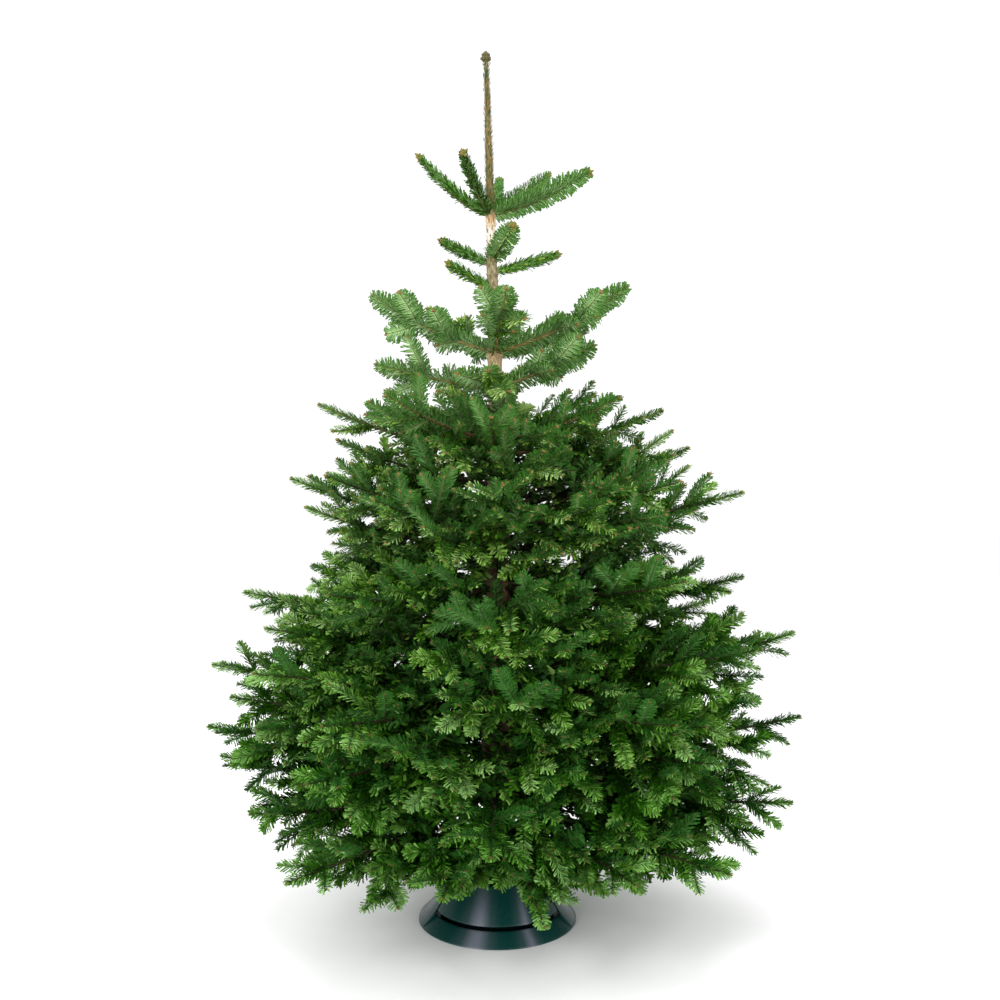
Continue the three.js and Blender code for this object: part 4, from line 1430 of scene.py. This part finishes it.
def bud_arrays(places, ways, lengths, slots):
    """Points, triangles and slots of pointed buds, eight faces each."""
    side = units(np.cross(ways, UP + OFF_UPRIGHT))
    over = np.cross(side, ways)
    waist = places + ways * lengths[:, None] * BUD_WAIST[0]
    radius = (lengths * BUD_WAIST[1])[:, None]
    points = np.stack([places, waist + side * radius, waist + over * radius,
                       waist - side * radius, waist - over * radius,
                       places + ways * lengths[:, None]], axis=1)
    triangles = []
    for corner in range(4):
        this, following = 1 + corner, 1 + (corner + 1) % 4
        triangles += [(0, following, this), (5, this, following)]
    faces = np.array(triangles)[None] + np.arange(len(places))[:, None, None] * points.shape[1]
    return points.reshape(-1, 3), faces.reshape(-1, 3), np.repeat(slots, len(triangles))


class FIR_OT_buds(bpy.types.Operator):
    """Close every young shoot in the light with a cluster of buds"""

    bl_idname = "fir.buds"
    bl_label = "Buds"

    def execute(self, context):
        bark = context.scene.fir_bark
        random = np.random.default_rng(context.scene.fir_growth.seed + 2)
        tips = [shoot for shoot in crown_of(context).shoots
                if shoot.age == 0 and shoot.light > BUD_LIGHT]
        grid = columns_of(tips)
        upper = np.array([shoot.tier in ("tier_1", "tier_1b") for shoot in tips])
        lower = np.array([TIERS[shoot.tier].years > 4 for shoot in tips])
        size = np.where(grid["order"] == 0, *BUD_SIZES) * np.where(lower, LOW_BUD, 1.0)
        size = np.where(grid["flat"], FLAT_BUD, size)
        size = np.where(upper, TOP_BUD, size)
        places, ways, lengths, slots = [], [], [], []
        for lean, turn, share, top_alone in BUD_CLUSTER:
            some = upper if top_alone else np.ones(len(tips), bool)
            spin = math.radians(turn) + random.uniform(0, BUD_TURN, len(tips))
            out = grid["side"] * np.cos(spin)[:, None] + grid["over"] * np.sin(spin)[:, None]
            slant = math.radians(lean)
            way = units(grid["ahead"] * math.cos(slant) + out * math.sin(slant))
            places.append((grid["end"] - grid["ahead"] * BUD_SINK)[some])
            ways.append(way[some])
            lengths.append((size * share * random.uniform(*BUD_DRAW, len(tips)))[some])
            # Buds of the lower tiers take the painted-shade copy of the bud colour.
            slots.append(np.where(upper, 1, np.where(lower, 2, 0))[some])
        arrays = bud_arrays(*(np.concatenate(part) for part in (places, ways, lengths, slots)))
        mesh = mesh_from_arrays("buds", *arrays)
        materials = [plain_material(name, getattr(bark, name), 0.6, 0.15)
                     for name in ("bud", "pale_bud", "low_bud")]
        finish_piece(object_from("buds", mesh), materials)
        return {"FINISHED"}


# ---- leader: short needles pressed to it, and its buds


LEADER_LEAN_JITTER = 8  # degrees
LEADER_LENGTHS = (0.7, 1.1)  # least and most, of a row's
LEADER_SHIFT = 0.001  # up or down, the most
LEADER_GREENS = {  # chance and colour
    "leader_deep": (0.25, (0.030, 0.060, 0.012)), "leader_olive": (0.35, (0.080, 0.090, 0.020))}
LEADER_DRY = 0.40
LEADER_BUD = (0.0046, 0.0066)  # half its width and half its length
LEADER_BUD_RINGS = ((1, 0.0, -0.006, 0.0), (6, 0.75, -0.009, 0.0), (7, 1.35, -0.013, 0.5))
LEADER_BUD_RIDGES = 0.10


class FIR_OT_leader(bpy.types.Operator):
    """Set short needles round the leader and a crown of stout buds on it"""

    bl_idname = "fir.leader"
    bl_label = "Leader"

    def execute(self, context):
        settings = context.scene.fir_needles
        bark = context.scene.fir_bark
        random = np.random.default_rng(context.scene.fir_growth.seed + 3)
        trunk = crown_of(context).trunk
        node = max(limb.foot for limb in crown_of(context).limbs)
        rows = (  # from and to, how many, their length, their lean in degrees
            (node + 0.006, trunk.crown - 0.012, 560, 0.0130, 24),
            (node - 0.110, node - 0.02, 34, 0.014, 30),
            (node - 0.300, node - 0.11, 90, 0.016, 34))
        parts = []
        for low, high, count, longest, lean in rows:
            along = np.linspace(low, high, count)
            along += random.uniform(-LEADER_SHIFT, LEADER_SHIFT, count)
            turn = np.arange(count) * GOLDEN_ANGLE
            out = np.stack([np.cos(turn), np.sin(turn), np.zeros(count)], axis=1)
            side = np.stack([-np.sin(turn), np.cos(turn), np.zeros(count)], axis=1)
            slant = np.radians(lean + random.normal(0, LEADER_LEAN_JITTER, count))[:, None]
            way = UP * np.cos(slant) + out * np.sin(slant)
            face = out * np.cos(slant) - UP * np.sin(slant)
            length = (longest * random.uniform(*LEADER_LENGTHS, count))[:, None]
            root = trunk.axis_at(along) + out * (trunk.radius_at(along) * 0.9)[:, None]
            half = side * settings.width * ROOT_HALF
            parts.append((root, root + way * length, -half, -half,
                          face * settings.thickness / 2))
        points, faces = blades(*(np.concatenate(column) for column in zip(*parts)))
        chances = [chance for chance, _ in LEADER_GREENS.values()] + [LEADER_DRY]
        slots = random.choice(len(chances), len(faces) // len(BLADE), p=chances)
        slots[rows[0][2]:] = len(LEADER_GREENS)
        mesh = mesh_from_arrays("leader_needles", points, faces, np.repeat(slots, len(BLADE)))
        materials = [plain_material(name, colour, 0.5, 0.2)
                     for name, (_, colour) in LEADER_GREENS.items()]
        materials.append(plain_material("leader_dry", settings.dry, 0.6, 0.2))
        finish_piece(object_from("leader_needles", mesh), materials)
        self.add_buds(trunk, bark)
        return {"FINISHED"}

    @staticmethod
    def add_buds(trunk, bark):
        """One upright bud in a ring of buds that lean out."""
        shape = bmesh.new()
        top = trunk.axis_at(trunk.crown)
        wide, long = LEADER_BUD
        places = [(lean, 2 * math.pi * (i + first) / count, rise)
                  for count, lean, rise, first in LEADER_BUD_RINGS for i in range(count)]
        for lean, turn, rise in places:
            made = bmesh.ops.create_icosphere(shape, subdivisions=2, radius=1.0)
            matrix = (Matrix.Translation(Vector(top) + Vector((0, 0, rise)))
                      @ Matrix.Rotation(turn, 4, "Z") @ Matrix.Rotation(lean, 4, "Y")
                      @ Matrix.Translation((0, 0, long * 1.1))
                      @ Matrix.Diagonal((wide, wide, long, 1)))
            for vert in made["verts"]:
                ridge = math.sin(vert.co.z * 14 + math.atan2(vert.co.y, vert.co.x) * 2)
                scale = 1 + LEADER_BUD_RIDGES * ridge
                vert.co.x *= scale
                vert.co.y *= scale
            bmesh.ops.transform(shape, matrix=matrix, verts=made["verts"])
        mesh = mesh_from_bmesh("leader_buds", shape, TRUNK_SMOOTH)
        material, shader = new_material("leader_bud", 0.5, 0.5)
        scales = object_pattern(material, "ShaderNodeTexVoronoi", (330, 330, 330))
        colour = ramp_of(material, scales.outputs["Distance"], [
            (0.1, tuple(bark.pale_bud)),
            (0.8, scaled(bark.pale_bud, [0.45] * 3))])
        link(material, colour, shader.inputs["Base Color"])
        bump_from(material, shader, [(scales.outputs["Distance"], -0.0012)])
        finish_piece(object_from("leader_buds", mesh), [material])


# ---- the stand

MOULDING_SMOOTH = math.radians(35)
SKIRT_CORNER = 0.0012  # widths of the rounded edges
FLARE_CORNER = 0.0016
FLARE_HALF = math.radians(23)
FLARE_RADII = (0.118, 0.184)  # at the rim and at the foot
FLARE_POWER = 1.75
FLARE_FOOT = 0.005
FLARE_STEPS = 14
RIM_MIDDLE = (0.1035, 0.1060)  # radius and height of the rolled rim's middle line
RIM_HALF = (0.0045, 0.0030)
CONE_TOP = (0.1080, 0.1060)  # radius and height
CONE_FOOT = (0.152, 0.0345)
SEAMS = (math.radians(302.5), math.radians(122.5))
SEAM_DEPTH = 0.0022
SEAM_ROOM = (0.104, 0.029)  # seams are pressed beyond this radius and above this height


def spun(profile, segments, angle=2 * math.pi, start=0.0):
    """A closed profile of (radius, height) points, turned about the axis."""
    shape = bmesh.new()
    verts = [shape.verts.new((radius * math.cos(start), radius * math.sin(start), height))
             for radius, height in profile]
    if angle >= 2 * math.pi:
        edges = [shape.edges.new((verts[i - 1], verts[i])) for i in range(len(verts))]
        spin_round(shape, verts + edges, (0, 0, 1), angle, segments, True)
        bmesh.ops.remove_doubles(shape, verts=shape.verts, dist=1e-5)
        bmesh.ops.dissolve_degenerate(shape, edges=shape.edges, dist=1e-6)
    else:
        spin_round(shape, [shape.faces.new(verts)], (0, 0, 1), angle, segments, False)
    bmesh.ops.recalc_face_normals(shape, faces=shape.faces)
    return shape


def soft_corners(shape, least, width, segments=2):
    """Rounds the edges that turn by more than an angle."""
    sharp = [edge for edge in shape.edges
             if len(edge.link_faces) == 2 and edge.calc_face_angle() > least]
    bmesh.ops.bevel(shape, geom=sharp, offset=width, offset_type="OFFSET", affect="EDGES",
                    segments=segments, profile=0.5, material=-1, clamp_overlap=True)
    return shape


class FIR_OT_stand(bpy.types.Operator):
    """Turn the stand's base, flares and bell finely from the frame's sizes"""

    bl_idname = "fir.stand"
    bl_label = "Stand"

    def execute(self, context):
        stand = context.scene.fir_stand
        _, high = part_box("stand_base")
        wide = high.x
        material = plastic_material(stand)
        skirt = spun([(0, 0), (wide, 0), (wide - 0.001, 0.003), (0.1525, 0.0258),
                      (0.147, 0.0258), (0.147, 0.008), (0, 0.008)], stand.segments)
        soft_corners(skirt, MOULDING_SMOOTH, SKIRT_CORNER)
        whole = bmesh.new()
        for shape in (skirt, self.flare(0, high.z), self.flare(math.pi, high.z)):
            join_into(whole, shape, MOULDING_SMOOTH)
        mesh = mesh_from_bmesh("stand_base_moulding", whole, MOULDING_SMOOTH)
        finish_piece(object_from("stand_base_moulding", mesh), [material],
                     ["stand_base"])
        bell = spun(self.bell_profile(), stand.segments)
        self.press_seams(bell, stand.segments)
        mesh = mesh_from_bmesh("stand_bell_moulding", bell, MOULDING_SMOOTH)
        finish_piece(object_from("stand_bell_moulding", mesh), [material],
                     ["stand_bell"])
        return {"FINISHED"}

    @staticmethod
    def flare(middle, rim):
        """A wing that sweeps from the base's edge up to the rim."""
        narrow, wide = FLARE_RADII
        outer = []
        for i in range(FLARE_STEPS + 1):
            share = i / FLARE_STEPS
            height = FLARE_FOOT + (rim - FLARE_FOOT) * share
            outer.append((narrow + (wide - narrow) * (1 - share) ** FLARE_POWER, height))
        inner = [(0.1085, rim), (0.1525, 0.033), (0.1525, 0.026), (0.150, 0.022), (0.150, 0.005)]
        shape = spun(outer + inner, 36, 2 * FLARE_HALF, middle - FLARE_HALF)
        return soft_corners(shape, math.radians(50), FLARE_CORNER, 3)

    @staticmethod
    def bell_profile():
        """Outside of the bell, its rolled rim, the basin inside and its foot."""
        rim = [(RIM_MIDDLE[0] + RIM_HALF[0] * math.cos(a),
                RIM_MIDDLE[1] + RIM_HALF[1] * math.sin(a)) for a in np.linspace(0, math.pi, 7)]
        outside = [tuple(top + (foot - top) * share for top, foot in zip(CONE_TOP, CONE_FOOT))
                   for share in (0.95, 0.93, *np.linspace(0.87, 0, 9))]
        lip = [(0.1420, 0.0345), (0.1480, 0.0345), (0.1498, 0.0362)]
        inside = [(0.0960, 0.0800), (0.0920, 0.0200), (0.0870, 0.0142), (0.0, 0.0142), (0.0, 0.0083),
                  (0.0910, 0.0083), (0.0960, 0.0200), (0.1000, 0.0800), (0.1020, 0.0950),
                  (0.1270, 0.0560), (0.1270, 0.0083), (0.1310, 0.0083), (0.1310, 0.0480)]
        return lip + outside + rim[1:] + inside

    @staticmethod
    def press_seams(shape, segments):
        """Sinks the narrow joints between the bell's panels."""
        for seam in SEAMS:
            for vert in shape.verts:
                radius = math.hypot(vert.co.x, vert.co.y)
                if radius < SEAM_ROOM[0] or vert.co.z < SEAM_ROOM[1]:
                    continue
                aside = math.remainder(math.atan2(vert.co.y, vert.co.x) - seam, 2 * math.pi)
                if abs(aside) < math.pi / segments:
                    sunk = (radius - SEAM_DEPTH) / radius
                    vert.co.x *= sunk
                    vert.co.y *= sunk


SCREW_SIDES = 32
SCREW_CORE = 0.0036  # radii
THREAD = (0.0040, 0.0034)
THREAD_RUN = (0.003, 0.009)  # kept free of thread at the nose and at the knob
THREAD_PITCH = 0.0016
KNOB_THICK = 0.0068
KNOB_EDGE = 0.001
KNOB_RIM = 0.8  # of its radius, beyond which it is ribbed
RIB = 0.07  # of its radius


class FIR_OT_screws(bpy.types.Operator):
    """Finish the clamp screws with a thread and a ribbed knob"""

    bl_idname = "fir.screws"
    bl_label = "Clamp screws"

    def execute(self, context):
        material = steel_material(context.scene.fir_stand)
        for node in nodes_named("clamp_screw_"):
            points = points_of(node)
            low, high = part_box(node)
            middle = (Vector(low) + Vector(high)) / 2
            azimuth = math.atan2(middle.y, middle.x)
            out = np.array([math.cos(azimuth), math.sin(azimuth), 0.0])
            run = points @ out
            height = (low.z + high.z) / 2
            mesh = self.screw(run.min(), run.max(), (high.z - low.z) / 2)
            mesh.transform(Matrix.Translation((0, 0, height)) @ Matrix.Rotation(azimuth, 4, "Z"))
            finish_piece(object_from(node + "_turned", mesh), [material], [node])
        return {"FINISHED"}

    @staticmethod
    def screw(start, end, knob):
        """A screw along +X: a rounded nose, thread rings, and a knob with ribs."""
        profile = [(start, 0.0), (start, 0.0026), (start + 0.0015, SCREW_CORE)]
        place = start + THREAD_RUN[0]
        while place < end - THREAD_RUN[1]:
            profile += [(place, THREAD[0]), (place + THREAD_PITCH / 2, THREAD[1])]
            place += THREAD_PITCH
        neck = end - KNOB_THICK
        profile += [(neck, SCREW_CORE), (neck, knob - KNOB_EDGE), (neck + KNOB_EDGE, knob),
                    (end - KNOB_EDGE, knob), (end, knob - KNOB_EDGE), (end, 0.0)]
        shape = bmesh.new()
        verts = [shape.verts.new((along, radius, 0)) for along, radius in profile]
        edges = [shape.edges.new(pair) for pair in zip(verts, verts[1:])]
        spin_round(shape, verts + edges, (1, 0, 0), 2 * math.pi, SCREW_SIDES, True)
        bmesh.ops.remove_doubles(shape, verts=shape.verts, dist=1e-6)
        for vert in shape.verts:
            if vert.co.x > neck - 1e-5 and math.hypot(vert.co.y, vert.co.z) > knob * KNOB_RIM:
                rib = round(math.atan2(vert.co.z, vert.co.y) / (2 * math.pi / SCREW_SIDES)) % 2
                vert.co.y *= 1 - RIB * rib
                vert.co.z *= 1 - RIB * rib
        return mesh_from_bmesh("screw", shape, math.radians(40))


# ---- the stage


LIGHTS = (  # name, place, width and height, the setting of its power and a share of it
    ("key_left", (-2.0, -2.9, 2.1), (0.9, 2.2), "key", 1.0),
    ("key_right", (2.2, -2.6, 1.9), (0.8, 2.0), "key", 0.6),
    ("top", (0.2, -0.4, 4.4), (2.4, 2.4), "key", 0.7),
    ("back", (-1.4, 3.4, 2.8), (1.6, 1.6), "fill", 1.0))
LIGHT_AIM = 0.45  # of the tree's height
FLOOR_RADIUS = 30
FLOOR_GAP = 0.0005  # under the stand
FLOOR_DIM = 0.985


class FIR_OT_stage(bpy.types.Operator):
    """Lay the pale floor, hang the soft lights and set the camera"""

    bl_idname = "fir.stage"
    bl_label = "Stage"

    def execute(self, context):
        stage = context.scene.fir_stage
        self.add_floor(stage)
        self.add_surround(context.scene, stage)
        for name, place, size, setting, share in LIGHTS:
            self.add_light(name, place, size, getattr(stage, setting) * share)
        camera = bpy.data.cameras.new("camera")
        camera.lens = stage.lens
        camera.sensor_width = 36
        viewer = bpy.data.objects.new("camera", camera)
        context.scene.collection.objects.link(viewer)
        viewer.location = (stage.camera_side, -stage.camera_distance,
                           TREE_HEIGHT * stage.camera_share)
        viewer.rotation_euler = (math.pi / 2, 0, 0)
        context.scene.camera = viewer
        context.scene.view_settings.view_transform = "Standard"
        return {"FINISHED"}

    @staticmethod
    def add_floor(stage):
        """A wide pale disc under the stand."""
        shape = bmesh.new()
        bmesh.ops.create_circle(shape, cap_ends=True, segments=64, radius=FLOOR_RADIUS)
        bmesh.ops.translate(shape, verts=shape.verts, vec=(0, 0, -FLOOR_GAP))
        floor = object_from("floor", mesh_from_bmesh("floor", shape))
        material, shader = new_material("floor", 0.7, 0.2)
        speckle = object_pattern(material, "ShaderNodeTexNoise", (3, 3, 3), detail=3.0)
        colour = ramp_of(material, speckle.outputs["Fac"], [
            (0.3, scaled(stage.floor_colour, [FLOOR_DIM] * 3)), (0.7, stage.floor_colour)])
        link(material, colour, shader.inputs["Base Color"])
        floor.data.materials.append(material)

    @staticmethod
    def add_surround(scene, stage):
        """An even white surround."""
        world = bpy.data.worlds.new("surround")
        world.use_nodes = True
        background = world.node_tree.nodes["Background"]
        background.inputs["Color"].default_value = (1, 1, 1, 1)
        background.inputs["Strength"].default_value = stage.sky
        scene.world = world

    @staticmethod
    def add_light(name, place, size, power):
        """A soft light, wide and tall by its size, that faces the tree."""
        lamp = bpy.data.lights.new(name, "AREA")
        lamp.shape = "RECTANGLE"
        lamp.size, lamp.size_y = size
        lamp.energy = power
        light = bpy.data.objects.new(name, lamp)
        bpy.context.scene.collection.objects.link(light)
        light.location = place
        way = Vector((0, 0, TREE_HEIGHT * LIGHT_AIM)) - Vector(place)
        light.rotation_euler = way.to_track_quat("-Z", "Y").to_euler()


# ---- panel, registration and the run

OPERATORS = (FIR_OT_trunk, FIR_OT_limbs, FIR_OT_twigs, FIR_OT_needles, FIR_OT_buds, FIR_OT_leader,
             FIR_OT_stand, FIR_OT_screws, FIR_OT_stage)


class FIR_PT_panel(bpy.types.Panel):
    """Lists the settings and the steps in the sidebar"""

    bl_idname = "FIR_PT_panel"
    bl_label = "Cut Fir"
    bl_space_type = "VIEW_3D"
    bl_region_type = "UI"
    bl_category = "Fir"

    def draw(self, context):
        layout = self.layout
        for setting in SETTINGS:
            box = layout.box()
            group = getattr(context.scene, setting)
            for name in group.__annotations__:
                box.prop(group, name)
        for operator in OPERATORS:
            layout.operator(operator.bl_idname)


def register():
    """Registers the settings, the steps and the panel."""
    for setting, group in SETTINGS.items():
        bpy.utils.register_class(group)
        setattr(bpy.types.Scene, setting, bpy.props.PointerProperty(type=group))
    for operator in OPERATORS:
        bpy.utils.register_class(operator)
    bpy.utils.register_class(FIR_PT_panel)


def unregister():
    """Takes all of it away again."""
    bpy.utils.unregister_class(FIR_PT_panel)
    for operator in reversed(OPERATORS):
        bpy.utils.unregister_class(operator)
    for setting, group in SETTINGS.items():
        delattr(bpy.types.Scene, setting)
        bpy.utils.unregister_class(group)


def main():
    """Makes every piece."""
    register()
    bpy.ops.fir.trunk()
    bpy.ops.fir.limbs()
    bpy.ops.fir.twigs()
    bpy.ops.fir.needles()
    bpy.ops.fir.buds()
    bpy.ops.fir.leader()
    bpy.ops.fir.stand()
    bpy.ops.fir.screws()
    bpy.ops.fir.stage()


if __name__ == "__main__":
    main()
